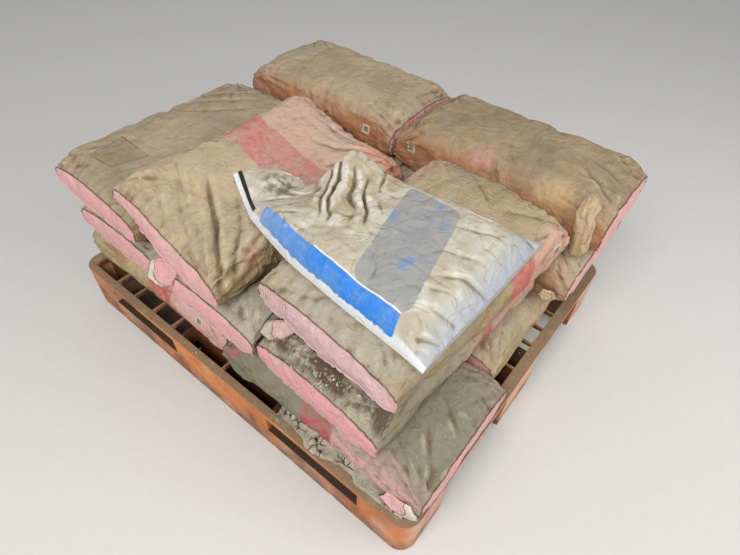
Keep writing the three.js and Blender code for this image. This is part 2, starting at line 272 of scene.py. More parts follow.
def closed_tube(grid, shares, bulge):
    """Closes both ends of a tube of points. The rows of an end run at the given shares of the way from
    the underside's half of the last section up to the top's half, moved out along the tube by bulge.
    Returns the points, the faces, and the row and column that each face corner of the tube lies at."""
    rows, around = grid.shape[:2]
    quarter = around // 4
    half = around // 2
    axis = (grid[-1] - grid[0]).mean(axis=0)
    axis /= np.linalg.norm(axis)
    row, column = np.broadcast_arrays(np.arange(rows - 1)[:, None], np.arange(around)[None, :])
    corner_rows = np.stack([row, row + 1, row + 1, row], -1)
    corner_columns = np.stack([column, column, column + 1, column + 1], -1)
    faces = (corner_rows * around + corner_columns % around).reshape(-1, 4).tolist()
    points = [grid.reshape(-1, 3)]
    total = rows * around
    across = np.linspace(-1, 1, half + 1)[1:-1]
    for last in (0, rows - 1):
        side = 1 if last else -1
        lower = (quarter - np.arange(half + 1)) % around
        upper = quarter + np.arange(half + 1)
        low, high = grid[last, lower], grid[last, upper]
        inner = low[None, 1:-1] + (high - low)[None, 1:-1] * shares[:, None, None]
        inner += side * bulge(shares[:, None], across[None, :])[..., None] * axis
        index = np.zeros((len(shares) + 2, half + 1), int)
        index[0] = last * around + lower
        index[-1] = last * around + upper
        index[1:-1, 0] = index[0, 0]
        index[1:-1, -1] = index[0, -1]
        index[1:-1, 1:-1] = total + np.arange(inner.shape[0] * inner.shape[1]).reshape(inner.shape[:2])
        total += inner.shape[0] * inner.shape[1]
        points.append(inner.reshape(-1, 3))
        quads = np.stack([index[:-1, :-1], index[1:, :-1], index[1:, 1:], index[:-1, 1:]], -1)[:, 1:-1]
        first = np.stack([index[:-1, 0], index[1:, 1], index[:-1, 1]], -1)
        final = np.stack([index[:-1, -1], index[:-1, -2], index[1:, -2]], -1)
        faces += quads.reshape(-1, 4).tolist() + first.tolist() + final.tolist()
    return np.concatenate(points), faces, corner_rows.ravel(), corner_columns.ravel()


# Meshes


def new_piece(name, points, faces):
    """A mesh object at the origin."""
    mesh = bpy.data.meshes.new(name)
    mesh.from_pydata(points.tolist(), [], faces)
    mesh.update()
    piece = bpy.data.objects.new(name, mesh)
    bpy.context.collection.objects.link(piece)
    return piece


def closed_sheet(top, bottom):
    """Points and faces of two grids of the same size, one over the other, joined all round."""
    index = np.arange(top.shape[0] * top.shape[1]).reshape(top.shape[:2])
    upper = np.stack([index[:-1, :-1], index[1:, :-1], index[1:, 1:], index[:-1, 1:]], -1).reshape(-1, 4)
    rim = np.concatenate([index[0], index[1:, -1], index[-1, -2::-1], index[-2:0:-1, 0]])
    ahead = np.roll(rim, -1)
    sides = np.stack([rim, ahead, ahead + index.size, rim + index.size], -1)
    faces = np.concatenate([upper, upper[:, ::-1] + index.size, sides])
    return np.concatenate([top.reshape(-1, 3), bottom.reshape(-1, 3)]), faces.tolist()


def copies(points, faces, places):
    """A shape's points and faces repeated at each place: places is (number, 3), and points may be one
    shape for all, (points, 3), or one for each, (number, points, 3)."""
    every = (points + places[:, None]).reshape(-1, 3)
    faces = np.asarray(faces)
    step = np.arange(len(places))[:, None, None] * points.shape[-2]
    return every, (faces[None] + step).reshape(-1, faces.shape[1]).tolist()


def mark(piece, name, values, domain="POINT"):
    """Gives a mesh an attribute with one value for each of its points or face corners."""
    layer = piece.data.attributes.new(name, "FLOAT", domain)
    layer.data.foreach_set("value", np.asarray(values).astype(np.float32))


def set_print(piece, uv):
    """Gives a mesh the coordinates that its print is laid out by, one pair for each face corner."""
    layer = piece.data.uv_layers.new(name="print")
    layer.uv.foreach_set("vector", uv.astype(np.float32).ravel())


def corners_of(faces):
    """The point at each face corner, in the order of the faces."""
    return np.array([corner for face in faces for corner in face])


def turn_outwards(piece):
    """Turns the faces of a closed mesh outwards, shades them smooth and keeps edges over 50 degrees sharp."""
    work = bmesh.new()
    work.from_mesh(piece.data)
    bmesh.ops.recalc_face_normals(work, faces=work.faces)
    work.to_mesh(piece.data)
    work.free()
    piece.data.polygons.foreach_set("use_smooth", np.full(len(piece.data.polygons), True))
    piece.data.set_sharp_from_angle(angle=math.radians(50))


def points_of(mesh):
    """The vertices of a mesh as an array."""
    flat = np.zeros(len(mesh.vertices) * 3, np.float32)
    mesh.vertices.foreach_get("co", flat)
    return flat.reshape(-1, 3).astype(float)


def solid_copy(name):
    """A copy of a CAD node with its loose triangles joined up, to measure against."""
    copy = bpy.data.objects.new("space_of_" + name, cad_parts[name].data.copy())
    bpy.context.collection.objects.link(copy)
    work = bmesh.new()
    work.from_mesh(copy.data)
    bmesh.ops.remove_doubles(work, verts=work.verts, dist=1e-5)
    bmesh.ops.recalc_face_normals(work, faces=work.faces)
    work.to_mesh(copy.data)
    work.free()
    return copy


def near_boxes(first, second, gap):
    """Whether two nodes' boxes come within a gap of each other."""
    low_a, high_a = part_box(first)
    low_b, high_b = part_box(second)
    return all(low_a[i] - gap < high_b[i] and low_b[i] - gap < high_a[i] for i in range(3))


def wrapped(piece, target, mode, offset, most):
    """A piece's points drawn in or out to a solid's surface, but for any that would move further than
    "most": near a thin edge of the solid the wrap can mistake its outside for its inside."""
    before = points_of(piece.data)
    wrap = piece.modifiers.new("wrap", "SHRINKWRAP")
    wrap.target = target
    wrap.wrap_mode = mode
    wrap.offset = offset
    after = points_of(piece.evaluated_get(bpy.context.evaluated_depsgraph_get()).data)
    piece.modifiers.clear()
    moved = np.linalg.norm(after - before, axis=1, keepdims=True)
    points = np.where(moved < most, after, before)
    piece.data.vertices.foreach_set("co", points.astype(np.float32).ravel())
    piece.data.update()


def keep_in_space(piece, name, proud=PROUD):
    """Brings points that stand too far out of a piece's own solid back, then moves points that lie in
    a neighbour's solid out to its surface. What lies under the bag is kept low by its own form."""
    wrapped(piece, spaces[name], "INSIDE", -proud, DRAWN_IN_MOST)
    for other in spaces:
        if other not in (name, "white_bag") and near_boxes(name, other, proud):
            wrapped(piece, spaces[other], "OUTSIDE", CLEARANCE, PUSHED_OUT_MOST)


# Filling: every skin swells at once as cloth under pressure, and is a little too large for
# what it holds, so that it buckles. Both movements are capped, the broad one more tightly.

FILL_FRAMES = 20
SWELL_MOST = 0.003
BUCKLE_MOST = 0.009
END_ROWS = np.linspace(0, 1, 8)[1:-1]
PAPER_CLOTH = {
    "quality": 4,
    "mass": 0.3,
    "tension_stiffness": 60,
    "compression_stiffness": 60,
    "shear_stiffness": 30,
    "bending_stiffness": 1.5,
    "use_pressure": True,
    "uniform_pressure_force": 3,
    "shrink_min": -0.03,
}


def capped(moved, most):
    """Movements shortened softly so that none is longer than "most"."""
    size = np.linalg.norm(moved, axis=-1, keepdims=True) + 1e-9
    return moved * most * np.tanh(size / most) / size


def filled(grids):
    """Simulates the skins given as {name: grid} and returns their new grids."""
    pieces = {}
    for name, grid in grids.items():
        points, faces, _, _ = closed_tube(grid, END_ROWS, lambda share, across: 0 * share * across)
        piece = new_piece("filling_" + name, points, faces)
        turn_outwards(piece)
        cloth = piece.modifiers.new("filling", "CLOTH")
        for setting, value in PAPER_CLOTH.items():
            setattr(cloth.settings, setting, value)
        cloth.settings.effector_weights.gravity = 0
        cloth.collision_settings.use_collision = False
        pieces[name] = piece
    for number in range(1, FILL_FRAMES + 1):
        bpy.context.scene.frame_set(number)
    depsgraph = bpy.context.evaluated_depsgraph_get()
    results = {}
    for name, piece in pieces.items():
        grid = grids[name]
        skin = points_of(piece.evaluated_get(depsgraph).data)
        moved = skin[:grid[..., 0].size].reshape(grid.shape) - grid
        broad = blurred(moved, 10)
        results[name] = grid + capped(broad, SWELL_MOST) + capped(moved - broad, BUCKLE_MOST)
        bpy.data.objects.remove(piece)
    bpy.context.scene.frame_set(1)
    return results


# Folds and creases

# How round the bottom of a crease is, how much steeper its left side falls off, and the ridge along that
# side: its height as a share of the crease's depth, and how many breadths out it stands
CREASE = 0.003
STEEPER = 2.0
RIDGE = 0.5
RIDGE_OUT = 1.3

# How high the lumps of the filling stand, how far creases wander, and how deep the scattered creases,
# the pleats along the end seams and the fans at the corners are
LUMPS = 0.0026
SMALL_LUMPS = 0.0012
SWAY = 0.03
SCATTERED = 0.0026
PLEATS = 0.0044
FANS = 0.0066


def corner_fans(own, length, width, seed):
    """Creases that run out from a sack's four corners: ridges by bearing, strongest 35 to 70 mm out."""
    depth = np.zeros(own.shape[:-1])
    for number, (end, side) in enumerate(((-1, -1), (-1, 1), (1, -1), (1, 1))):
        du = own[..., 0] - end * length / 2
        dv = own[..., 1] - side * width / 2
        reach = np.hypot(du, dv)
        bearing = np.arctan2(dv, du)
        fan = ridges(np.stack([bearing, reach * 2, own[..., 2] * 3], -1), (0.16, 0.25, 0.3), seed + number)
        depth += fan ** 2 * smooth_step(reach, 0.0, 0.035) * (1 - smooth_step(reach, 0.07, 0.2))
    return depth


def fold_lines(own, folds):
    """Creases along lines given as (start, end, breadth, depth) on the sack's plan, deepest midway by the
    sine of their way to the power 0.7: a groove whose sides fall off exponentially, the left one
    steeper, with a ridge shaped like a bell along its left."""
    depth = np.zeros(own.shape[:-1])
    for start, end, breadth, deepest in folds:
        start = np.array(start)
        run = np.array(end) - start
        t = np.clip(((own[..., :2] - start) @ run) / (run @ run), 0, 1)
        off = own[..., :2] - start - t[..., None] * run
        away = np.linalg.norm(off, axis=-1)
        left = (off @ np.array([-run[1], run[0]])) / np.linalg.norm(run)
        steep = np.where(left > 0, STEEPER, 1.0)
        groove = np.exp(-(np.hypot(away, CREASE) - CREASE) * steep / breadth)
        past_end = np.hypot(away, left) - np.abs(left)
        ridge = np.exp(-((left - RIDGE_OUT * breadth) / breadth) ** 2 - past_end / breadth)
        depth += deepest * (groove - RIDGE * ridge) * np.sin(np.pi * np.clip(t, 0.04, 0.96)) ** 0.7
    return depth


def relief(own, normals, sack, seed, folds):
    """How far each point of a sack's skin moves in or out: wide lumps, long soft creases, fans at the
    corners, short pleats along both end seams, and the sack's own folds."""
    length, width = sack.size
    along = np.abs(own[..., 0]) / (length / 2)
    lumps = LUMPS * noise(own, (0.12, 0.1, 0.09), seed)
    lumps += SMALL_LUMPS * noise(own, (0.045, 0.04, 0.04), seed + 1)
    sway = SWAY * np.stack([noise(own, 0.12, seed + 2), noise(own, 0.12, seed + 3), 0 * own[..., 0]], -1)
    warped = own + sway
    creases = ridges(warped, (0.05, 0.16, 0.1), seed + 4) ** 4
    creases += ridges(warped, (0.12, 0.04, 0.1), seed + 5) ** 5
    near_seam = smooth_step(along, 0.74, 0.98)
    pleats = ridges(warped, (0.25, 0.021, 0.3), seed + 6) ** 2 * near_seam
    fans = corner_fans(own, length, width, seed + 7)
    own_folds = fold_lines(own, folds) * smooth_step(normals[..., 2], -0.2, 0.4)
    return lumps - SCATTERED * creases - PLEATS * pleats - FANS * fans - own_folds


# The pasted end stands back a little behind the edge of the paper that is folded over it. A border of
# this share of its height leads over to the panel, which bulges and has shallow dents.
LIP = 0.0016
BORDER = 0.016
PANEL_BULGE = 0.006
PANEL_DENTS = 0.0022
PANEL_ROWS = np.concatenate([[BORDER], np.linspace(0, 1, 16)[1:-1], [1 - BORDER]])


def sack_piece(name, sack, grid, seed, folds):
    """A sack's finished skin: the filled grid made twice as fine, folded, and closed by its ends. It is
    marked with the depth of its folds in millimetres, less what is broader than they are."""
    grid = finer(grid)
    normals = outwards(grid)
    own = sack.own(grid)
    moved = relief(own, normals, sack, seed, folds)
    grid = grid + normals * moved[..., None]
    length = sack.size[0]
    turned = np.array([math.cos(sack.turn), math.sin(sack.turn), 0])
    for row, side in ((0, -1), (-1, 1)):
        ragged = LIP * (1 + 0.6 * noise(own[row], 0.02, seed + 20))
        grid[row] += side * turned * ragged[:, None]
    if name in UNDER_BAG:
        grid = pressed(grid, sack)

    def panel(share, across):
        """How far an end panel stands out: a low bulge with dents, and a step back at its border."""
        belly = 4 * share * (1 - share) * (1 - across ** 2)
        across, share = np.broadcast_arrays(across, share)
        place = np.stack([across * 0.17, share * 0.08, 0 * share + length], -1)
        dents = noise(place, (0.05, 0.03, 1), seed + 21) * np.minimum(1, 3 * belly)
        return PANEL_BULGE * belly - 1.5 * LIP + PANEL_DENTS * dents

    points, faces, rows, columns = closed_tube(grid, PANEL_ROWS, panel)
    piece = new_piece(name, points, faces)
    around = np.linalg.norm(np.roll(grid, -1, axis=1) - grid, axis=-1)[len(grid) // 2]
    travelled = np.concatenate([[0], np.cumsum(around)])
    travelled -= travelled[grid.shape[1] // 2]
    tube_uv = np.stack([(rows / (len(grid) - 1) - 0.5) * length, -travelled[columns]], -1)
    ends = corners_of(faces[len(rows) // 4:])
    end_uv = sack.own(points)[ends][:, 1:]
    set_print(piece, np.concatenate([tube_uv, end_uv]))
    mark(piece, "end_panel", np.repeat([0, 1], [len(rows), len(ends)]), "CORNER")
    depth = np.zeros(len(points))
    depth[:moved.size] = 1000 * (blurred(moved, 1) - blurred(moved, 7)).ravel()
    mark(piece, "fold", depth)
    turn_outwards(piece)
    keep_in_space(piece, name, FOOT_PROUD if sack.base == FIRST_LAYER else PROUD)
    return piece


# Folds that the photograph shows on single sacks, as (start, end, breadth, depth) on the sack's plan
FOLDS = {
    "top_sack_riding": [
        ((-0.12, 0.07), (-0.22, -0.1), 0.008, 0.012),
        ((-0.19, -0.05), (-0.292, -0.2), 0.009, 0.017),
        ((-0.15, 0.15), (-0.25, -0.06), 0.009, 0.007),
        ((-0.08, 0.02), (-0.22, -0.2), 0.009, 0.006),
        ((-0.18, 0.11), (-0.3, -0.11), 0.007, 0.005),
        ((-0.21, 0.14), (-0.3, -0.02), 0.006, 0.004),
        ((-0.14, 0.11), (-0.26, -0.1), 0.006, 0.004),
        ((-0.03, -0.06), (-0.16, -0.2), 0.008, 0.006),
        ((-0.16, -0.1), (-0.26, -0.21), 0.006, 0.01),
        ((-0.1, -0.14), (-0.27, -0.2), 0.006, 0.008),
        ((0.0, -0.14), (-0.12, -0.21), 0.007, 0.008),
        ((0.15, 0.03), (0.3, -0.19), 0.01, 0.01),
        ((0.1, -0.06), (0.3, -0.2), 0.008, 0.008),
        ((0.24, 0.08), (0.305, -0.18), 0.007, 0.007),
    ],
    "top_sack_far": [
        ((0.08, 0.14), (0.26, -0.02), 0.007, 0.006),
        ((0.13, 0.15), (0.29, 0.03), 0.007, 0.006),
        ((0.02, 0.12), (0.2, -0.04), 0.007, 0.005),
        ((-0.3, -0.02), (-0.22, -0.12), 0.009, 0.003),
    ],
    "top_sack_near": [
        ((0.272, 0.07), (0.19, -0.045), 0.005, 0.006),
        ((-0.26, 0.05), (-0.12, 0.1), 0.01, 0.006),
        ((-0.3, 0.1), (-0.2, -0.02), 0.008, 0.005),
        ((-0.28, -0.02), (-0.16, -0.14), 0.009, 0.005),
        ((0.2, -0.06), (0.3, -0.18), 0.008, 0.007),
    ],
    "top_sack_right_near": [
        ((-0.28, 0.08), (-0.16, 0.0), 0.008, 0.008),
        ((-0.28, 0.0), (-0.17, -0.04), 0.007, 0.008),
        ((-0.29, -0.08), (-0.2, -0.11), 0.007, 0.007),
        ((-0.29, 0.04), (-0.14, 0.04), 0.006, 0.006),
    ],
    "middle_sack_near": [
        ((-0.3, 0.1), (-0.26, -0.04), 0.007, 0.006),
        ((-0.29, -0.06), (-0.25, -0.15), 0.006, 0.006),
    ],
    "bottom_sack_left_near": [
        ((-0.29, 0.13), (-0.2, 0.02), 0.008, 0.008),
        ((-0.3, 0.03), (-0.18, -0.06), 0.008, 0.006),
        ((-0.26, 0.16), (-0.16, 0.12), 0.006, 0.006),
    ],
}


# The white bag

# The sacks that it lies on, how thick it is, how far it stays off them, how far its skin may stand out of
# its solid, its cells along and around, and the half width that its section is spaced out for
UNDER_BAG = ("top_sack_near", "top_sack_riding")
BAG_THICKNESS = 0.07
BAG_CLEAR = 0.0015
BAG_PROUD = 0.012
BAG_CELLS_ALONG = 200
BAG_CELLS_AROUND = 280
BAG_HALF_WIDTH = 0.2

# Its section, as for a sack; what lies lower than UPPER_FROM of its thickness is its underside
UPPER_FROM = 0.09
BAG_UNDERSIDE = [(0, 0), (0.6, 0), (0.94, 0), (1, 0.1)]
BAG_TOP = [(1, 0.1), (0.985, 0.27), (0.95, 0.48), (0.88, 0.7), (0.77, 0.88), (0.58, 0.97), (0, 1)]
WHITE_BAG = Sack((-0.192, -0.262), THIRD_LAYER + 0.118, ALONG_Y,
                 lift=lambda x, y: 0.014 * smooth_step(x, -0.16, 0.06))

# The bag's outline: its left and right edges from the near end to the last straight row, and beyond
# that row its far edge, from the tip of the flap on the left to the gathered corner on the right
BAG_LEFT_EDGE = [(-0.384, -0.51), (-0.38, -0.46), (-0.366, -0.3), (-0.345, -0.14), (-0.303, 0.02)]
BAG_RIGHT_EDGE = [(0.05, -0.526), (0.01, -0.49), (0.004, -0.36), (-0.004, -0.25), (-0.01, -0.14)]
EDGE_SHARES = [0, 0.1, 0.45, 0.72, 1]
BAG_FAR_EDGE = [(-0.232, 0.155), (-0.158, 0.094), (-0.124, 0.012), (-0.15, -0.048),
                (-0.118, -0.044), (-0.058, -0.05), (-0.02, -0.095)]
FAR_SHARES = [0, 0.22, 0.42, 0.5, 0.62, 0.85, 1]
LAST_ROW = 0.78


def curve_through(points, shares, at, evened):
    """A curve through points that it passes at the given shares of its way: straight lines between
    them, averaged over a stretch of the way that shortens to nothing at both ends."""
    points = np.array(points, float)
    at = np.clip(np.asarray(at, float), 0, 1)[..., None]
    room = np.minimum(at, 1 - at)
    places = at + np.clip(np.linspace(-evened, evened, 9), -room, room)
    return np.stack([np.interp(places, shares, column).mean(axis=-1) for column in points.T], axis=-1)


def top_of(sack, x, y):
    """The height of a sack's top over any place, and of its rounded sides; 0 beside the sack."""
    own = sack.own(np.stack([x, y, 0 * x], axis=-1))
    s = own[..., 0] / (sack.size[0] / 2)
    out = np.abs(own[..., 1]) / (sack.size[1] / 2)
    e = np.clip((np.abs(s) - ENDS_FROM) / (1 - ENDS_FROM), 0, 1) ** 2
    middle = np.interp(out, *np.array(MIDDLE_TOP[::-1]).T)
    end = np.interp(out, *np.array(END_TOP[::-1]).T)
    up = middle * (1 - e) + end * e
    bulge = sack.crown * np.clip(1 - s ** 2, 0, 1) * np.clip(1 - out ** 2, 0, 1)
    z = sack.base + up * (sack.height + sack.swell(x, y)) + bulge + sack.lift(x, y)
    return np.where((np.abs(s) <= 1) & (out <= 1), z, 0)


def within(x, y, outline):
    """Whether points lie inside a closed outline, by the even-odd rule over its sides."""
    inside = np.zeros(x.shape, bool)
    for (x0, y0), (x1, y1) in zip(outline, np.roll(outline, -1, axis=0)):
        crosses = (y0 > y) != (y1 > y)
        inside ^= crosses & (x < x0 + (y - y0) * (x1 - x0) / (y1 - y0 + 1e-12))
    return inside


def bag_outline():
    """The bag's outline on the plan: up its right edge, back along its far edge, and down its left."""
    at = np.linspace(0, 1, 24)
    right = curve_through(BAG_RIGHT_EDGE, EDGE_SHARES, at, 0.03)
    far = curve_through(BAG_FAR_EDGE, FAR_SHARES, at[::-1], 0.03)
    left = curve_through(BAG_LEFT_EDGE, EDGE_SHARES, at[::-1], 0.05)
    return np.concatenate([right, far, left])


def pressed(grid, sack):
    """A skin's grid with what lies under the bag pressed down to the top that the bag rests on."""
    x, y = grid[..., 0], grid[..., 1]
    low = np.minimum(grid[..., 2], top_of(sack, x, y) + 0.6 * BAG_CLEAR)
    upper = grid[..., 2] > sack.base + 0.6 * sack.height
    under = within(x, y, bag_outline()) & upper
    return np.concatenate([grid[..., :2], np.where(under, low, grid[..., 2])[..., None]], axis=-1)


def hump(distance, breadth):
    """1 at no distance, falling off like a bell over the breadth."""
    return np.exp(-(distance / breadth) ** 2)


def bag_grid():
    """The white bag's skin without its ends, as rows of points round it, with the a, b and up of each
    and how far it lies from the left edge.

    Along it a runs from 0 at the near end to 1, across it b from -1 at its left edge to 1 at its right
    one. The underside lies on the sacks, or on the bag's own level where they leave a gap, and the top
    stands over it by 70 mm * up(b), less towards both ends. Past a = 0.78 the rows bend over to the far
    edge: on the left the empty film turns over as a flap, on the right it stays full to its end.
    """
    rows = section((BAG_UNDERSIDE, BAG_TOP), BAG_HALF_WIDTH, BAG_THICKNESS, BAG_CELLS_AROUND)
    a = np.linspace(0, 1, BAG_CELLS_ALONG + 1)[:, None] + 0 * rows[None, :, 0]
    b = rows[None, :, 0] + 0 * a
    up = rows[None, :, 1] + 0 * a
    left = curve_through(BAG_LEFT_EDGE, EDGE_SHARES, a / LAST_ROW, 0.05)
    right = curve_through(BAG_RIGHT_EDGE, EDGE_SHARES, a / LAST_ROW, 0.03)
    share = (b[..., None] + 1) / 2
    plan = left * (1 - share) + right * share
    beyond = np.clip((a - LAST_ROW) / (1 - LAST_ROW), 0, 1)[..., None]
    plan = plan * (1 - beyond) + curve_through(BAG_FAR_EDGE, FAR_SHARES, (b + 1) / 2, 0.03) * beyond
    x, y = plan[..., 0], plan[..., 1]
    low = WHITE_BAG.base + WHITE_BAG.lift(x, y)
    for name in UNDER_BAG:
        low = np.maximum(low, top_of(SACKS[name], x, y) + BAG_CLEAR)
    low = blurred(low, 3)
    on_flap = smooth_step(-b, -0.05, 0.25)
    near_end = 0.13 + 0.87 * smooth_step(a, -0.03, 0.1)
    far_right = 1 - 0.9 * smooth_step(a, 0.9, 1.0)
    far_left = 1 - 0.88 * smooth_step(a, 0.66, 0.9)
    thick = BAG_THICKNESS * near_end * (far_left * on_flap + far_right * (1 - on_flap))
    from_left = share[..., 0] * np.linalg.norm(right - left, axis=-1)
    return np.stack([x, y, low + up * thick], axis=-1), a, b, up, from_left


# The pleats at the bag's far end: how far across them each ridge and hollow lies, and its height
PLEATS_AT = [-0.02, 0.0, 0.006, 0.011, 0.024, 0.037, 0.041, 0.047, 0.06, 0.068, 0.073, 0.08, 0.094, 0.107,
             0.112, 0.118, 0.127, 0.132, 0.138, 0.149, 0.168]
PLEATS_UP = [0.0, 0.002, -0.005, 0.003, 0.006, 0.004, -0.01, 0.004, 0.008, 0.005, -0.008, 0.003, 0.01, 0.006,
             -0.013, 0.004, 0.006, -0.007, 0.003, 0.004, 0.0]
ALONG_PLEATS = (0.52, -0.85)

# Where its largest forms lie on its own plan and how high or deep they are: the peak that the pleats
# rise to, the dip beside the flap, and the puffed part of the flap
PEAK_AT = (0.178, -0.135)
PEAK_HEIGHT = 0.034
DIP_AT = (0.205, -0.03)
DIP_DEPTH = 0.018
PUFF_AT = (0.342, 0.003)
PUFF_HEIGHT = 0.024

# How strong its crumple is: broad lumps, small ones and the fine creases between them
BAG_LUMPS = 0.0026
BAG_SMALL_LUMPS = 0.0016
BAG_CREASES = 0.0026

# Folds that cross the bag's near half, and the creases at the root of its flap
BAG_FOLDS = [
    ((-0.125, -0.02), (-0.235, -0.055), 0.006, 0.004),
    ((-0.155, 0.045), (-0.262, -0.022), 0.007, 0.007),
    ((-0.14, 0.085), (-0.235, 0.045), 0.006, 0.004),
    ((-0.19, 0.115), (-0.25, 0.08), 0.008, 0.004),
    ((-0.11, -0.09), (-0.2, -0.13), 0.006, 0.005),
    ((-0.09, -0.15), (-0.17, -0.17), 0.005, 0.003),
    ((-0.2, 0.17), (-0.25, 0.13), 0.004, 0.005),
    ((-0.19, 0.185), (-0.255, 0.165), 0.004, 0.004),
    ((0.275, 0.0), (0.205, -0.03), 0.005, 0.014),
    ((0.29, 0.06), (0.225, 0.02), 0.005, 0.008),
    ((0.25, 0.085), (0.19, 0.03), 0.004, 0.004),
    ((0.23, 0.1), (0.15, 0.06), 0.004, 0.004),
    ((0.2, 0.1), (0.09, 0.1), 0.008, 0.004),
    ((0.36, 0.04), (0.3, 0.03), 0.008, 0.004),
    ((-0.22, -0.192), (-0.268, -0.202), 0.004, 0.006),
]


def bag_folds(grid, a, b, up):
    """How far the top of the white bag stands up over its even form: pleats gathered at the far end that
    rise to a peak, a dip beside the flap, the folds along its near half, and fine crumple everywhere."""
    own = WHITE_BAG.own(grid)
    upper = smooth_step(up, 0.15, 0.8)
    wander = 0.011 * noise(own, (0.07, 0.07, 1), 400) + 0.003 * noise(own, (0.02, 0.02, 1), 401)
    gathered = -own[..., 0] * ALONG_PLEATS[1] + own[..., 1] * ALONG_PLEATS[0] + wander
    reach = own[..., 0] * ALONG_PLEATS[0] + own[..., 1] * ALONG_PLEATS[1]
    pleats = np.interp(gathered, PLEATS_AT, PLEATS_UP) * (0.8 + 0.9 * noise(own, (0.04, 0.04, 1), 402))
    far = smooth_step(reach, -0.015, 0.06) * (1 - 0.4 * smooth_step(reach, 0.1, 0.2))
    far *= 1 - smooth_step(b, 0.85, 1)
    peak = hump(np.hypot(own[..., 0] - PEAK_AT[0], own[..., 1] - PEAK_AT[1]), 0.06)
    dip = hump(np.hypot((own[..., 0] - DIP_AT[0]) * 0.6, own[..., 1] - DIP_AT[1]), 0.018)
    flap = smooth_step(a, LAST_ROW - 0.02, 0.86) * smooth_step(-b, -0.1, 0.15)
    puff = hump(np.hypot(own[..., 0] - PUFF_AT[0], own[..., 1] - PUFF_AT[1]), 0.06)
    from_root = reach + 0.012 + 0.3 * np.clip(0.06 - gathered, 0, 1)
    root = hump(from_root, 0.008) * smooth_step(gathered, -0.02, 0.03)
    root *= 1 - smooth_step(gathered, 0.13, 0.17)
    height = far * pleats + PEAK_HEIGHT * peak - DIP_DEPTH * dip + PUFF_HEIGHT * puff - 0.003 * root
    height += 0.004 * flap * noise(own, (0.05, 0.03, 1), 412)
    height -= fold_lines(own, BAG_FOLDS)
    height -= BAG_CREASES * ridges(own + 0.02 * noise(own, 0.05, 420)[..., None], (0.05, 0.035, 1), 421) ** 3
    height += BAG_LUMPS * noise(own, (0.06, 0.06, 1), 422)
    height += BAG_SMALL_LUMPS * noise(own, (0.018, 0.018, 1), 423)
    return height * upper


def bag_piece():
    """The white bag's finished skin, marked with how far its print lies from the hem of its flap and from
    its left edge. No print reaches its underside, whose print coordinates lie 10 m off."""
    grid, a, b, up, from_left = bag_grid()
    height = bag_folds(grid, a, b, up)
    grid = grid + height[..., None] * (0, 0, 1)

    def end_bulge(share, across):
        """How far the film of a closed end stands out: half a millimetre at most."""
        return 0.002 * share * (1 - share) + 0 * across

    points, faces, _, _ = closed_tube(grid, np.linspace(0, 1, 5)[1:-1], end_bulge)
    piece = new_piece("white_bag_skin", points, faces)
    own = WHITE_BAG.own(points)[:, :2]
    own[:up.size, 0] += 10 * (up < UPPER_FROM).ravel()
    set_print(piece, own[corners_of(faces)])
    width = np.linalg.norm(grid[:, BAG_CELLS_AROUND // 4] - grid[:, -BAG_CELLS_AROUND // 4], axis=-1)
    marks = {
        "fold": (1000 * (height - blurred(height, 14)), 0),
        "hem": (np.where((a > LAST_ROW) & (up > UPPER_FROM), (b + 1) / 2 * width[:, None], 1), 1),
        "from_left": (np.where(up > UPPER_FROM, from_left, 0), 1),
    }
    for name, (values, at_ends) in marks.items():
        mark(piece, name, np.concatenate([values.ravel(), np.full(len(points) - up.size, at_ends)]))
    turn_outwards(piece)
    keep_in_space(piece, "white_bag", BAG_PROUD)
    return piece


# What lies and hangs on the stack


def top_under(trees, x, y, from_height):
    """The height of the first finished surface under a point, and how far that surface faces up."""
    hits = [tree.ray_cast(Vector((x, y, from_height)), Vector((0, 0, -1)))[:2] for tree in trees]
    return max([(place.z, up.z) for place, up in hits if place is not None], default=(PALLET_TOP, 1.0))


# The dots on the rim: how far apart and how many, their size, how far they reach into the rim, and how
# far from the pallet's middle their rows lie
DOT_STEP = 0.042
DOTS_ALONG = 28
DOTS_ACROSS = 22
DOT_RADIUS = 0.0042
DOT_HEIGHT = 0.0016
DOT_SUNK = 0.0002
DOT_SIDES = 8
RIM_ALONG = 0.4927
RIM_ACROSS = 0.5985


def rim_dots():
    """The raised dots on the pallet's rim: each a low dome of two rings and a point."""
    turn = np.linspace(0, 2 * math.pi, DOT_SIDES + 1)[:-1]
    ring = np.stack([np.cos(turn), np.sin(turn), 0 * turn], -1)
    foot = ring * DOT_RADIUS - (0, 0, DOT_SUNK)
    shoulder = ring * DOT_RADIUS * 0.6 + (0, 0, 0.8 * DOT_HEIGHT)
    shape = np.concatenate([foot, shoulder, [(0, 0, DOT_HEIGHT), (0, 0, -DOT_SUNK)]])
    first = np.arange(DOT_SIDES)
    ahead = (first + 1) % DOT_SIDES
    above, above_ahead, tip = first + DOT_SIDES, ahead + DOT_SIDES, 2 * DOT_SIDES + 0 * first
    corners = [(first, ahead, above_ahead), (first, above_ahead, above), (above, above_ahead, tip),
               (ahead, first, tip + 1)]
    faces = np.concatenate([np.stack(each, -1) for each in corners])
    along = (np.arange(DOTS_ALONG) - (DOTS_ALONG - 1) / 2) * DOT_STEP
    across = (np.arange(DOTS_ACROSS) - (DOTS_ACROSS - 1) / 2) * DOT_STEP
    rows = [np.stack([side * RIM_ALONG + 0 * along, along, 0 * along], -1) for side in (-1, 1)]
    rows += [np.stack([across, side * RIM_ACROSS + 0 * across, 0 * across], -1) for side in (-1, 1)]
    points, faces = copies(shape, faces, np.concatenate(rows) + (0, 0, PALLET_TOP))
    piece = new_piece("rim_dots", points, faces)
    turn_outwards(piece)
    return piece


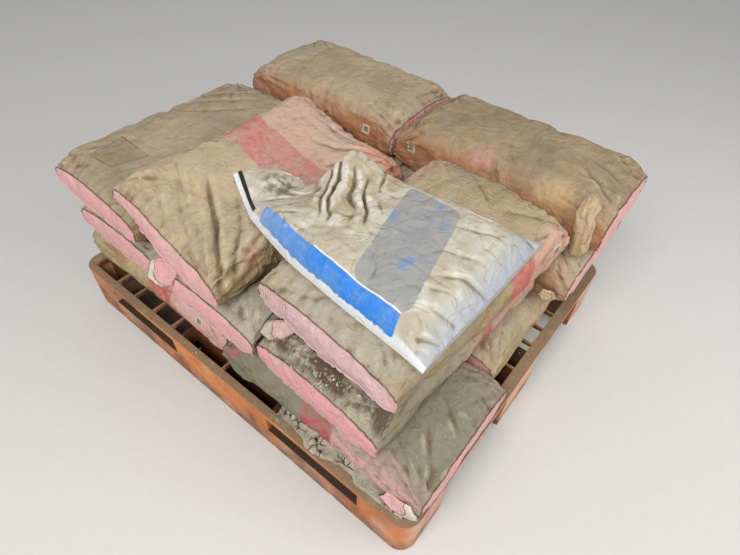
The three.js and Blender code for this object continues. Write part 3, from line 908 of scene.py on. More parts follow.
# The crust: where it lies along and across the pallet, how high its blocks stand, how much higher it is
# banked up at the sack, how far it reaches into the rim, and how many blocks it is split into
CRUST_ALONG = (-0.575, -0.2)
CRUST_ACROSS = (-0.505, -0.452)
CRUST_HEIGHT = 0.005
CRUST_BANK = 0.011
CRUST_SUNK = 0.0006
CRUST_BLOCKS = 60


def cement_crust():
    """Set cement on the near part of the left rim, banked up against the foot of the sack beside it. It
    is split into blocks: each place belongs to the nearest of a number of random points, has a height
    of its own, and is cracked where two of those points are about as near."""
    y = np.linspace(*CRUST_ALONG, 300)[:, None]
    x = np.linspace(*CRUST_ACROSS, 44)[None, :]
    place = np.stack([x + 0 * y, y + 0 * x, 0 * x * y], -1)
    inward = (x - CRUST_ACROSS[0]) / (CRUST_ACROSS[1] - CRUST_ACROSS[0])
    from_end = np.minimum(y - CRUST_ALONG[0], CRUST_ALONG[1] - y)
    spread = noise(place, (0.02, 0.035, 1), 501) + 2.6 * inward + 9 * np.minimum(from_end, 0.05)
    cover = smooth_step(spread, 0.75, 0.95)
    draw = np.random.default_rng(5)
    seeds = np.stack([draw.uniform(*reach, CRUST_BLOCKS) for reach in (CRUST_ACROSS, CRUST_ALONG)], -1)
    warped = place[..., :2] + 0.005 * np.stack([noise(place, 0.012, 505), noise(place, 0.012, 506)], -1)
    away = np.linalg.norm(warped[:, :, None] - seeds, axis=-1)
    order = np.sort(away, axis=-1)
    crack = 1 - smooth_step(order[..., 1] - order[..., 0], 0.0005, 0.0024)
    crack *= smooth_step(noise(place, (0.03, 0.03, 1), 507), 0.0, 0.35)
    blocks = draw.uniform(0.55, 1.0, CRUST_BLOCKS)[np.argmin(away, axis=-1)]
    lumps = blocks + 0.22 * noise(place, (0.01, 0.01, 1), 502) + 0.16 * noise(place, 0.004, 503)
    height = cover * (1 - 0.9 * crack) * (CRUST_HEIGHT * lumps + CRUST_BANK * smooth_step(inward, 0.45, 1))
    top = place + (height[..., None] - CRUST_SUNK * (1 - cover[..., None])) * (0, 0, 1) + (0, 0, PALLET_TOP)
    bottom = place + (0, 0, PALLET_TOP - 2 * CRUST_SUNK)
    points, faces = closed_sheet(top, bottom)
    piece = new_piece("cement_crust", points, faces)
    mark(piece, "crack", np.tile((crack * cover).ravel(), 2))
    turn_outwards(piece)
    return piece


# Crumbs of set cement are dropped from above everything and stay where a surface faces up this much.
# Each field is the x and y of a box, how many fall there, and their smallest and largest size.
DROPPED_FROM = 0.7
STAY_WHERE_UP = 0.75
CRUMB_FIELDS = [
    ((-0.468, -0.425), (-0.46, -0.22), 150, 0.0014, 0.0052),
    ((-0.45, -0.42), (-0.42, -0.3), 26, 0.003, 0.008),
    ((-0.47, -0.3), (-0.6, -0.5), 46, 0.001, 0.0028),
    ((-0.46, -0.43), (-0.1, 0.17), 30, 0.001, 0.003),
    ((-0.505, -0.482), (-0.56, 0.3), 90, 0.001, 0.0034),
    ((0.0, 0.3), (-0.6, -0.56), 18, 0.001, 0.003),
    ((-0.4, -0.1), (-0.2, 0.25), 30, 0.0007, 0.0016),
    ((-0.38, -0.02), (-0.5, -0.15), 24, 0.0007, 0.0016),
]


def cement_crumbs(trees):
    """Crumbs of set cement: each is a twelve-pointed lump, squeezed, turned and roughened at random,
    and sunk by a third into what it lies on."""
    draw = np.random.default_rng(11)
    work = bmesh.new()
    bmesh.ops.create_icosphere(work, subdivisions=1, radius=1)
    shape = np.array([vertex.co for vertex in work.verts])
    faces = [[vertex.index for vertex in face.verts] for face in work.faces]
    work.free()
    places, sizes = [], []
    for (x0, x1), (y0, y1), number, least, most in CRUMB_FIELDS:
        x, y = draw.uniform(x0, x1, number), draw.uniform(y0, y1, number)
        size = least + (most - least) * draw.random(number) ** 3
        z, up = np.array([top_under(trees, *place, DROPPED_FROM) for place in zip(x, y)]).T
        places.append(np.stack([x, y, z + 0.35 * size], -1)[up > STAY_WHERE_UP])
        sizes.append(size[up > STAY_WHERE_UP])
    places, sizes = np.concatenate(places), np.concatenate(sizes)
    lumps = shape[None] * (1 + draw.uniform(-0.25, 0.2, (len(sizes), len(shape), 1)))
    lumps *= draw.uniform(0.55, 1.0, (len(sizes), 1, 3)) * sizes[:, None, None]
    turns, _ = np.linalg.qr(draw.normal(size=(len(sizes), 3, 3)))
    points, faces = copies(lumps @ turns, faces, places)
    piece = new_piece("cement_crumbs", points, faces)
    mark(piece, "crack", np.zeros(len(points)))
    turn_outwards(piece)
    return piece


# The folded ends of filling sleeves, and an ear of torn paper made the same way: the middle, the ways
# across and up, the width and height, and how far they bulge
SLEEVES = {
    "sleeve_middle_far": dict(
        middle=(-0.464, 0.18, 0.366), across=(0.045, -0.102, 0.058), up=(0.02, 0.055, 0.036),
        size=(0.124, 0.068), bulge=0.009),
    "sleeve_middle_centre": dict(
        middle=(-0.421, -0.166, 0.383), across=(0.025, -0.065, 0.03), up=(0.04, 0.008, 0.034),
        size=(0.1, 0.046), bulge=0.012),
    "sleeve_bottom_left_near": dict(
        middle=(-0.483, -0.561, 0.18), across=(0.004, -0.095, 0.018), up=(0.012, 0.0, 0.05),
        size=(0.1, 0.048), bulge=0.007),
    "sleeve_middle_right_near": dict(
        middle=(0.137, -0.56, 0.304), across=(0.2, -0.95, 0.1), up=(-0.25, 0.05, 0.96),
        size=(0.05, 0.044), bulge=0.007),
    "torn_ear": dict(
        middle=(0.196, -0.494, 0.478), across=(0.3, -0.9, -0.05), up=(0.3, 0.05, 0.95),
        size=(0.056, 0.022), bulge=0.004),
}

# A sleeve's outline: its half width at places from its lower edge, -1, to its upper one, 1
SLEEVE_AT = [-1, -0.1, 1]
SLEEVE_HALF = [0.3, 1, 0.6]


def sleeve(name, seed, middle, across, up, size, bulge):
    """A sleeve's folded end, a flat pocket with six straight sides, that lies crumpled around two folds
    that run down it. Its skins stand apart by a gap that closes towards its edges."""
    across = np.array(across) / np.linalg.norm(across)
    out = np.cross(np.array(up), across)
    out /= np.linalg.norm(out)
    up = np.cross(across, out)
    s = np.linspace(-1, 1, 57)[None, :]
    t = np.linspace(-1, 1, 41)[:, None]
    half = np.interp(t, SLEEVE_AT, SLEEVE_HALF)
    ragged = 1 + 0.05 * noise(np.stack([s + 0 * t, t + 0 * s, seed + 0 * s * t], -1), 0.35, seed + 3)
    flat = np.stack([s * half * ragged * size[0] / 2, t * ragged * size[1] / 2, seed + 0 * s * t], -1)
    gap = np.clip(5 * (1 - np.abs(s)), 0, 1) * np.clip(4 * (1 - np.abs(t)), 0, 1)
    crumple = 0.5 * noise(flat, 0.02, seed) + 0.45 * ridges(flat, (0.03, 0.018, 1), seed + 1) ** 2
    folds = np.exp(-(np.abs(s + 0.35 - 0.2 * t) / 0.05)) + 0.7 * np.exp(-(np.abs(s - 0.4 + 0.5 * t) / 0.05))
    swell = bulge * (gap * (0.8 + crumple) - 0.55 * folds * np.sqrt(gap))
    sag = 0.35 * bulge * noise(flat, (0.03, 0.03, 1), seed + 2)
    skins = []
    for side, share in ((1, 1.0), (-1, 0.5)):
        lift = side * (share * swell + 0.0004) + sag
        skins.append(np.array(middle) + flat[..., :1] * across + flat[..., 1:2] * up + lift[..., None] * out)
    points, faces = closed_sheet(*skins)
    piece = new_piece(name, points, faces)
    set_print(piece, np.tile(np.stack([s + 0 * t, t + 0 * s], -1).reshape(-1, 2), (2, 1))[corners_of(faces)])
    turn_outwards(piece)
    return piece


# The roll's path from its loose end to its lower one, where along it those points lie, its radius at
# them, its length, its cells along and around, and how fast its creases wind round it, in radians a metre
ROLL_PATH = [(0.264, -0.538, 0.536), (0.24, -0.554, 0.53), (0.215, -0.564, 0.5), (0.208, -0.568, 0.46),
             (0.214, -0.57, 0.414)]
ROLL_SHARES = [0, 0.22, 0.5, 0.75, 1]
ROLL_RADIUS = [0.01, 0.024, 0.027, 0.024, 0.019]
ROLL_LENGTH = 0.17
ROLL_CELLS = 96
ROLL_WINDS = 55


def paper_roll():
    """The crumpled roll of paper that hangs over a corner: rings along a curve, whose radius swells and
    shrinks along it and is crossed by sharp creases that wind round it."""
    at = np.linspace(0, 1, ROLL_CELLS + 1)
    middle = curve_through(ROLL_PATH, ROLL_SHARES, at, 0.16)
    along = np.gradient(middle, axis=0)
    along /= np.linalg.norm(along, axis=-1, keepdims=True)
    first = np.cross(along, (0, 1, 0))
    first /= np.linalg.norm(first, axis=-1, keepdims=True)
    second = np.cross(along, first)
    turn = np.linspace(0, 2 * math.pi, ROLL_CELLS + 1)[:-1][None, :]
    cos, sin = np.cos(turn)[..., None], np.sin(turn)[..., None]
    way = at[:, None] * ROLL_LENGTH
    skin = np.stack([0.03 * np.cos(turn) + 0 * way, 0.03 * np.sin(turn) + 0 * way, way + 0 * turn], -1)
    wound = np.cos(turn - ROLL_WINDS * way)
    creases = ridges(skin + 0.01 * noise(skin, 0.03, 601)[..., None], (0.014, 0.014, 0.05), 602) ** 2
    radius = np.interp(at, ROLL_SHARES, ROLL_RADIUS)[:, None]
    radius = radius * (1 + 0.13 * wound - 0.34 * creases + 0.2 * noise(skin, (0.03, 0.03, 0.03), 603))
    grid = middle[:, None] + radius[..., None] * (cos * first[:, None] + sin * second[:, None])

    def end_bulge(share, across):
        """How far an end of the roll stands out: a millimetre at its middle."""
        return 0.004 * share * (1 - share) * (1 - across ** 2)

    points, faces, rows, columns = closed_tube(grid, np.linspace(0, 1, 7)[1:-1], end_bulge)
    piece = new_piece("paper_roll", points, faces)
    uv = np.zeros((len(corners_of(faces)), 2))
    uv[:len(rows), 0] = np.cos(columns * 2 * math.pi / ROLL_CELLS) * 0.85
    uv[:len(rows), 1] = rows * 2 / ROLL_CELLS - 1
    set_print(piece, uv)
    turn_outwards(piece)
    return piece


# Materials


def node(tree, kind, sockets=None, out=0, **settings):
    """Adds a node, sets its settings, gives each named or numbered socket a value or a link, and
    returns the output asked for, or the node itself where out is None."""
    made = tree.nodes.new(kind)
    for name, value in settings.items():
        setattr(made, name, value)
    for name, value in (sockets or {}).items():
        if isinstance(value, bpy.types.NodeSocket):
            tree.links.new(value, made.inputs[name])
        else:
            made.inputs[name].default_value = value
    return made if out is None else made.outputs[out]


# Settings that many nodes share: a range that eases in and out, and noise that runs in sharp ridges
SMOOTH = {"interpolation_type": "SMOOTHSTEP"}
RIDGED = {"noise_type": "RIDGED_MULTIFRACTAL"}

# The wave texture draws 20 waves for each metre and unit of scale, divided by two pi: 159 stitches and
# 102 waves a metre
STITCH_SCALE = 50.0
WAVE_SCALE = 32.0

# Inside these distances from the middle, the pallet's faces below its top are walls of its cells
HOLLOWS_WITHIN = (0.4765, 0.5865)


class Finish:
    """A material in the making: its shader, the object's own coordinates, and the masks and coats that
    its look is built up from."""

    def __init__(self, name, seed=0.0):
        self.material = bpy.data.materials.new(name)
        self.material.use_nodes = True
        self.material.node_tree.nodes.clear()
        self.add = functools.partial(node, self.material.node_tree)
        self.shader = self.add("ShaderNodeBsdfPrincipled", out=None)
        self.add("ShaderNodeOutputMaterial", {"Surface": self.shader.outputs["BSDF"]}, out=None)
        self.place = self.add("ShaderNodeTexCoord", out="Object")
        facing = self.add("ShaderNodeNewGeometry", out="Normal")
        self.normal = self.add("ShaderNodeSeparateXYZ", {0: facing}, out=None)
        self.seed = seed

    def patches(self, per_metre, low, high, detail=5, roughness=0.6, place=None):
        """Patches of noise between 0 and 1, sharpened between two of its levels. per_metre is 1000 over
        the size in millimetres of the broadest ones."""
        place = self.place if place is None else place
        sockets = {"Vector": place, "W": self.seed, "Scale": per_metre, "Detail": detail,
                   "Roughness": roughness}
        patches = self.add("ShaderNodeTexNoise", sockets, noise_dimensions="4D")
        return self.add("ShaderNodeMapRange", {0: patches, 1: low, 2: high}, **SMOOTH)

    def product(self, *masks):
        """Several masks multiplied together."""
        total = masks[0]
        for mask in masks[1:]:
            total = self.add("ShaderNodeMath", {0: total, 1: mask}, operation="MULTIPLY")
        return total

    def between(self, value, start, stop, soft=0.003):
        """1 where a value lies between two limits."""
        after = self.add("ShaderNodeMapRange", {0: value, 1: start - soft, 2: start + soft}, **SMOOTH)
        before = self.add("ShaderNodeMapRange", {0: value, 1: stop + soft, 2: stop - soft}, **SMOOTH)
        return self.product(after, before)

    def coats(self, colour, *further):
        """A colour with further ones laid over it in turn, each where its mask is 1."""
        for top, mask in further:
            under, over = (linear(each) if isinstance(each, str) else each for each in (colour, top))
            colour = self.add("ShaderNodeMix", {0: mask, 6: under, 7: over}, out=2, data_type="RGBA")
        return colour

    def distance_to(self, along, around, point):
        """How far a place on the print lies from a point of it."""
        reach = [self.add("ShaderNodeMath", {0: value, 1: middle}, operation="SUBTRACT")
                 for value, middle in zip((along, around), point)]
        square = [self.add("ShaderNodeMath", {0: value, 1: value}, operation="MULTIPLY") for value in reach]
        total = self.add("ShaderNodeMath", {0: square[0], 1: square[1]}, operation="ADD")
        return self.add("ShaderNodeMath", {0: total}, operation="SQRT")

    def inside(self, along, around, corners):
        """How far inside a four-sided outline a place on the print lies: the least of its distances from
        the four sides, negative outside. The corners run clockwise, seen with "along" to the right."""
        least = None
        for (u0, w0), (u1, w1) in zip(corners, corners[1:] + corners[:1]):
            size = math.hypot(u1 - u0, w1 - w0)
            du, dw = (u1 - u0) / size, (w1 - w0) / size
            start = du * w0 - dw * u0
            off = self.add("ShaderNodeMath", {0: around, 1: -du, 2: start}, operation="MULTIPLY_ADD")
            off = self.add("ShaderNodeMath", {0: along, 1: dw, 2: off}, operation="MULTIPLY_ADD")
            if least is None:
                least = off
            else:
                least = self.add("ShaderNodeMath", {0: least, 1: off}, operation="MINIMUM")
        return least

    def done(self, colour, roughness, height, reach=0.001):
        """Joins the colour, the roughness and the relief, whose heights are in units of "reach"."""
        links = self.material.node_tree.links
        links.new(colour, self.shader.inputs["Base Color"])
        bump = self.add("ShaderNodeBump", {"Height": height, "Distance": reach, "Strength": 1.0})
        links.new(bump, self.shader.inputs["Normal"])
        if isinstance(roughness, bpy.types.NodeSocket):
            links.new(roughness, self.shader.inputs["Roughness"])
        else:
            self.shader.inputs["Roughness"].default_value = roughness
        return self.material


class Paper(Finish):
    """Kraft paper in the making: besides what any finish has, where a place lies along and around the
    sack, whether it is on a pasted end, how deep in a fold, and how far it faces up."""

    def __init__(self, name, seed):
        super().__init__(name, seed)
        self.print_uv = self.add("ShaderNodeUVMap", uv_map="print")
        printed = self.add("ShaderNodeSeparateXYZ", {0: self.print_uv}, out=None)
        self.along, self.around = printed.outputs["X"], printed.outputs["Y"]
        self.from_middle = self.add("ShaderNodeMath", {0: self.along}, operation="ABSOLUTE")
        self.side = self.add("ShaderNodeMath", {0: self.around}, operation="ABSOLUTE")
        self.end = self.add("ShaderNodeAttribute", out="Fac", attribute_name="end_panel")
        self.off_end = self.add("ShaderNodeMath", {0: 1.0, 1: self.end}, operation="SUBTRACT")
        self.fold = self.add("ShaderNodeAttribute", out="Fac", attribute_name="fold")
        up = self.normal.outputs["Z"]
        self.faces_up = self.add("ShaderNodeMapRange", {0: up, 1: 0.1, 2: 0.85}, **SMOOTH)

    def around_spot(self, spot, reach, core):
        """1 in the core of a round spot on the print, a share of its reach, and 0 beyond the reach."""
        away = self.distance_to(self.along, self.around, spot)
        return self.add("ShaderNodeMapRange", {0: away, 1: reach, 2: reach * core}, **SMOOTH)

    def printed(self, colour, orange, pink, pink_tone, red, bare_top):
        """Orange low on the sides, and worn stretches of pink and red, which leave the top bare where
        bare_top is given. They waver by a few millimetres, as the paper under them is crumpled."""
        waver = self.add("ShaderNodeTexNoise", {"Vector": self.place, "Scale": 25.0, "Detail": 3.0})
        waver = self.add("ShaderNodeMapRange", {0: waver, 1: 0.3, 2: 0.7, 3: -0.004, 4: 0.004})
        print_along = self.add("ShaderNodeMath", {0: self.along, 1: waver}, operation="ADD")
        worn = self.patches(60.0, 0.28, 0.55)
        where = self.off_end
        if bare_top:
            below = {0: self.side, 1: bare_top, 2: bare_top + 0.025}
            where = self.product(self.off_end, self.add("ShaderNodeMapRange", below, **SMOOTH))
        if orange:
            low = self.add("ShaderNodeMapRange", {0: self.side, 1: 0.1, 2: 0.19}, **SMOOTH)
            low = self.product(low, self.off_end)
            colour = self.coats(
                colour,
                ("#A0683F", self.product(low, self.patches(12.0, 0.25, 0.55, 6), orange)),
                ("#C08A68", self.product(low, self.patches(40.0, 0.5, 0.66, 6), 0.6)))
        for stretch, tone, most in ((pink, pink_tone, 0.85), (red, "#C04C53", 0.95)):
            if stretch:
                mask = self.product(self.between(print_along, *stretch), where, worn, most)
                colour = self.coats(colour, (tone, mask))
        return colour

    def with_ends(self, colour, end_tone):
        """The pasted ends, whose pink is blotched and rubbed."""
        panel = self.coats(
            end_tone,
            ("#D09290", self.product(self.patches(30.0, 0.35, 0.7), 0.45)),
            ("#C9A99A", self.patches(9.0, 0.5, 0.75)))
        return self.coats(colour, (panel, self.end))

    def with_square(self, colour, square):
        """A small grey square in a pale border, by the larger of the distances along and around."""
        beside = [self.add("ShaderNodeMath", {0: value, 1: middle}, operation="SUBTRACT")
                  for value, middle in zip((self.along, self.around), square)]
        beside = [self.add("ShaderNodeMath", {0: value}, operation="ABSOLUTE") for value in beside]
        reach = self.add("ShaderNodeMath", {0: beside[0], 1: beside[1]}, operation="MAXIMUM")
        return self.coats(
            colour,
            ("#CDBFA0", self.product(self.between(reach, -1, 0.013, 0.001), self.off_end)),
            ("#77776A", self.product(self.between(reach, -1, 0.008, 0.001), self.off_end)))

    def dusted(self, colour, dust, dust_colour, film):
        """Dust, thick where it can settle and thin elsewhere, creases darkened partly by dirt and partly
        as painted shade, paper rubbed bare on their crests, and brown blotches on top."""
        settled = self.product(self.faces_up, self.patches(11.0, 0.28, 0.7, 8, 0.68), dust)
        # The creases are darkened partly by dirt and partly as painted shade, the deepest most
        hollow = self.add("ShaderNodeMapRange", {0: self.fold, 1: -0.2, 2: -2.4}, **SMOOTH)
        deep = self.add("ShaderNodeMapRange", {0: self.fold, 1: -2.2, 2: -5.5}, **SMOOTH)
        crest = self.add("ShaderNodeMapRange", {0: self.fold, 1: 0.4, 2: 2.0}, **SMOOTH)
        return self.coats(
            colour,
            (dust_colour, self.product(self.faces_up, film)),
            (dust_colour, settled),
            (dust_colour, self.product(self.patches(35.0, 0.35, 0.8), 0.35)),
            # painted shade with dirt: shallow creases brown, deep ones near black
            ("#665138", self.product(hollow, self.off_end, 0.72)),
            ("#33271B", self.product(deep, self.off_end, 0.8)),
            ("#D6C7A8", self.product(crest, self.off_end, self.patches(50.0, 0.35, 0.6), 0.3)),
            ("#7B6548", self.product(self.patches(16.0, 0.6, 0.76, 6), self.faces_up, 0.5)))

    def with_patch(self, colour, corners):
        """A patch glued on, a little darker, with a line of stitches round it."""
        depth = self.inside(self.along, self.around, corners)
        waves = {"Vector": self.print_uv, "Scale": STITCH_SCALE}
        stitches = self.add("ShaderNodeTexWave", waves, out="Fac")
        stitches = self.add("ShaderNodeMapRange", {0: stitches, 1: 0.35, 2: 0.6, 3: 0.25, 4: 1.0})
        border = self.between(depth, -0.001, 0.0018, 0.0006)
        return self.coats(
            colour,
            ("#77623F", self.product(self.between(depth, 0.001, 1.0, 0.001), self.off_end, 0.3)),
            ("#43362A", self.product(border, stitches, self.faces_up, 0.85)))

    def with_soil(self, colour, stretch):
        """Pale grit and dark dirt, thick on one stretch of the top."""
        ledge = self.product(self.between(self.along, *stretch, 0.012), self.faces_up)
        return self.coats(
            colour,
            ("#B5AFA0", self.product(ledge, self.patches(14.0, 0.4, 0.6, 7), 0.7)),
            ("#4A3826", self.product(ledge, self.patches(11.0, 0.43, 0.56, 8, 0.7), 0.92)))

    def fibrous(self, colour):
        """Fibres are under 0.1 mm across: they are drawn as specks of 3 to 5 mm, to show at all."""
        return self.coats(
            colour,
            ("#5F4E38", self.product(self.patches(330.0, 0.3, 0.75, 3), 0.2)),
            ("#DCD2BC", self.product(self.patches(210.0, 0.66, 0.74, 2), self.faces_up, 0.5)))

    def with_seams(self, colour, limit):
        """The dark line of painted shadow where the folded edge of the paper stands over the pasted end."""
        line = self.between(self.from_middle, limit - 0.0026, limit + 1, 0.0008)
        seam = self.product(line, self.off_end, self.patches(90.0, 0.25, 0.5))
        # painted shadow: a dark line under the folded edge
        return self.coats(colour, ("#4A3527", self.product(seam, 0.75)))

    def crumpled(self, limit):
        """The paper's relief in millimetres: crumple 30 mm and 80 mm across, pleats about 14 mm apart
        that deepen towards the ends, and grit of 4 mm, far coarser than the real one, to show."""
        crumple = self.add("ShaderNodeTexNoise", {"Vector": self.place, "Scale": 34.0, "Detail": 4.0,
                                                  "Roughness": 0.5, "Offset": 1.0,
                                                  "Distortion": 0.8}, **RIDGED)
        stretched = self.add("ShaderNodeMapping", {"Vector": self.print_uv, "Scale": (9.0, 70.0, 1.0),
                                                   "Location": (self.seed, self.seed, 0)})
        pleats = self.add("ShaderNodeTexNoise", {"Vector": stretched, "Scale": 1.0, "Detail": 3.0,
                                                 "Distortion": 0.8})
        by_end = self.add("ShaderNodeMapRange", {0: self.from_middle, 1: limit - 0.18, 2: limit - 0.01,
                                                 3: 0.6, 4: 3.4})
        grit = self.add("ShaderNodeTexNoise", {"Vector": self.place, "Scale": 260.0, "Detail": 3.0})
        coarse = self.add("ShaderNodeTexNoise", {"Vector": self.place, "Scale": 12.0, "Detail": 2.0,
                                                 "Offset": 1.0, "Distortion": 1.5}, **RIDGED)
        height = self.product(crumple, 1.1)
        for relief, most in ((coarse, 1.6), (pleats, by_end), (grit, 0.5)):
            height = self.add("ShaderNodeMath", {0: relief, 1: most, 2: height}, operation="MULTIPLY_ADD")
        return height

    def waved(self, colour, height, spot, reach):
        """Fine waves round a spot, with darker troughs: returns the colour and the height with them."""
        near = self.around_spot(spot, reach, 0.5)
        waves = self.add("ShaderNodeTexWave", {"Vector": self.print_uv, "Scale": WAVE_SCALE,
                                               "Distortion": 9.0, "Detail": 2.0,
                                               "Detail Scale": 0.6}, out="Fac")
        trough = self.add("ShaderNodeMapRange", {0: waves, 1: 0.3, 2: 0.0})
        trough = self.product(trough, near, self.patches(20.0, 0.35, 0.6), 0.5)
        colour = self.coats(colour, ("#6E5A3E", trough))
        wave = self.product(waves, near)
        return colour, self.add("ShaderNodeMath", {0: wave, 1: 0.45, 2: height}, operation="MULTIPLY_ADD")


def kraft_paper(name, seed, limit, light="#C4AF8C", dark="#9C8660", dust=0.5, dust_colour="#A5A091",
                film=0.15, red=None, pink=None, pink_tone="#CB9887", end_tone="#E9AFB0", bare_top=None,
                orange=0.0, square=None, stains=(), patch=None, wavy=None, soiled=None):
    """Kraft paper of a valve sack, machine-made from long brown fibres, which gives the eye a matt,
    slightly mottled tan. One face and its sides are printed in faded red and pink, the pasted ends
    are pink, and cement dust lies on whatever faces up and in the creases. The creases and the end
    seams are darkened further as painted shade.

    limit is where the end seams are along the sack. light and dark are the paper's own tones, dust is
    how thick dust has settled, dust_colour its tone and film how thick an even film of it lies on top.
    red and pink are stretches along the sack, pink_tone the pink of that print and end_tone that of the
    ends, bare_top is how far from the middle of the top that print begins, and orange is how strongly
    the sides are printed in orange. square is where a small grey square sits, as along and around, stains are
    each a place, a reach and a colour, patch is the corners of a glued patch, wavy the place and reach
    of fine waves in the paper, and soiled a stretch with dark dirt."""
    look = Paper(name, seed)
    colour = look.coats(
        light,
        (dark, look.patches(7.0, 0.36, 0.66)),
        (dark, look.product(look.patches(24.0, 0.42, 0.66, 6), 0.5)))
    colour = look.printed(colour, orange, pink, pink_tone, red, bare_top)
    for spot, reach, stain in stains:
        mask = look.product(look.around_spot(spot, reach, 0.35), look.patches(30.0, 0.25, 0.6), 0.85)
        colour = look.coats(colour, (stain, mask))
    colour = look.with_ends(colour, end_tone)
    if square:
        colour = look.with_square(colour, square)
    colour = look.dusted(colour, dust, dust_colour, film)
    if patch:
        colour = look.with_patch(colour, patch)
    if soiled:
        colour = look.with_soil(colour, soiled)
    colour = look.fibrous(colour)
    colour = look.with_seams(colour, limit)
    height = look.crumpled(limit)
    if wavy:
        colour, height = look.waved(colour, height, *wavy)
    look.shader.inputs["Specular IOR Level"].default_value = 0.3
    return look.done(colour, 0.88, height)


def film_print(look, along, across, from_left, waver):
    """The bag's print, in coordinates that lean with it: a grey panel with rounded corners and what is
    left of its blue, a blue stripe beside the left edge, and a thin pale line. Each is a colour and its
    mask."""
    add, patches, product, between = look.add, look.patches, look.product, look.between
    print_along = add("ShaderNodeMath", {0: across, 1: 0.23, 2: along}, operation="MULTIPLY_ADD")
    print_across = add("ShaderNodeMath", {0: along, 1: 0.0795, 2: across}, operation="MULTIPLY_ADD")

    def rounded_box(centre, half_size, radius, soft=0.0008):
        """1 inside a box with rounded corners: the distance to the box drawn in by the radius, less the
        radius."""
        reach = []
        for value, middle, half in zip((print_along, print_across), centre, half_size):
            away = add("ShaderNodeMath", {0: value, 1: middle}, operation="SUBTRACT")
            away = add("ShaderNodeMath", {0: away}, operation="ABSOLUTE")
            away = add("ShaderNodeMath", {0: away, 1: half - radius}, operation="SUBTRACT")
            reach.append(add("ShaderNodeMath", {0: away, 1: 0.0}, operation="MAXIMUM"))
        distance = look.distance_to(*reach, (0, 0))
        return add("ShaderNodeMapRange", {0: distance, 1: radius + soft, 2: radius - soft})

    edge = add("ShaderNodeMath", {0: waver, 1: 0.006, 2: from_left}, operation="MULTIPLY_ADD")
    panel = rounded_box((-0.0737, -0.0075), (0.0697, 0.1405), 0.022)
    stripe = product(
        between(edge, 0.0085, 1, 0.0006),
        between(from_left, -1, 0.0355, 0.0006),
        between(print_along, -0.1285, 0.272, 0.0015))
    thin_line = product(between(from_left, 0.0365, 0.0384, 0.0005), between(print_along, -0.1285, 0.1, 0.003))
    panel_colour = look.coats(
        "#8A8A88",
        ("#6580AC", patches(14.0, 0.54, 0.66, 6, 0.65)),
        ("#2B78CC", patches(24.0, 0.66, 0.7, 3)),
        ("#9C9484", product(patches(30.0, 0.46, 0.7), 0.6)))
    faded = add("ShaderNodeMapRange", {0: print_along, 1: 0.1, 2: 0.25})
    stripe_colour = look.coats(
        "#2273C6",
        ("#4A7FBC", patches(14.0, 0.42, 0.62)),
        ("#7594BC", product(faded, 0.85)),
        ("#9AA6AE", product(patches(32.0, 0.56, 0.72, 6), 0.45)))
    return (panel_colour, panel), (stripe_colour, stripe), ("#DAD9D5", thin_line)


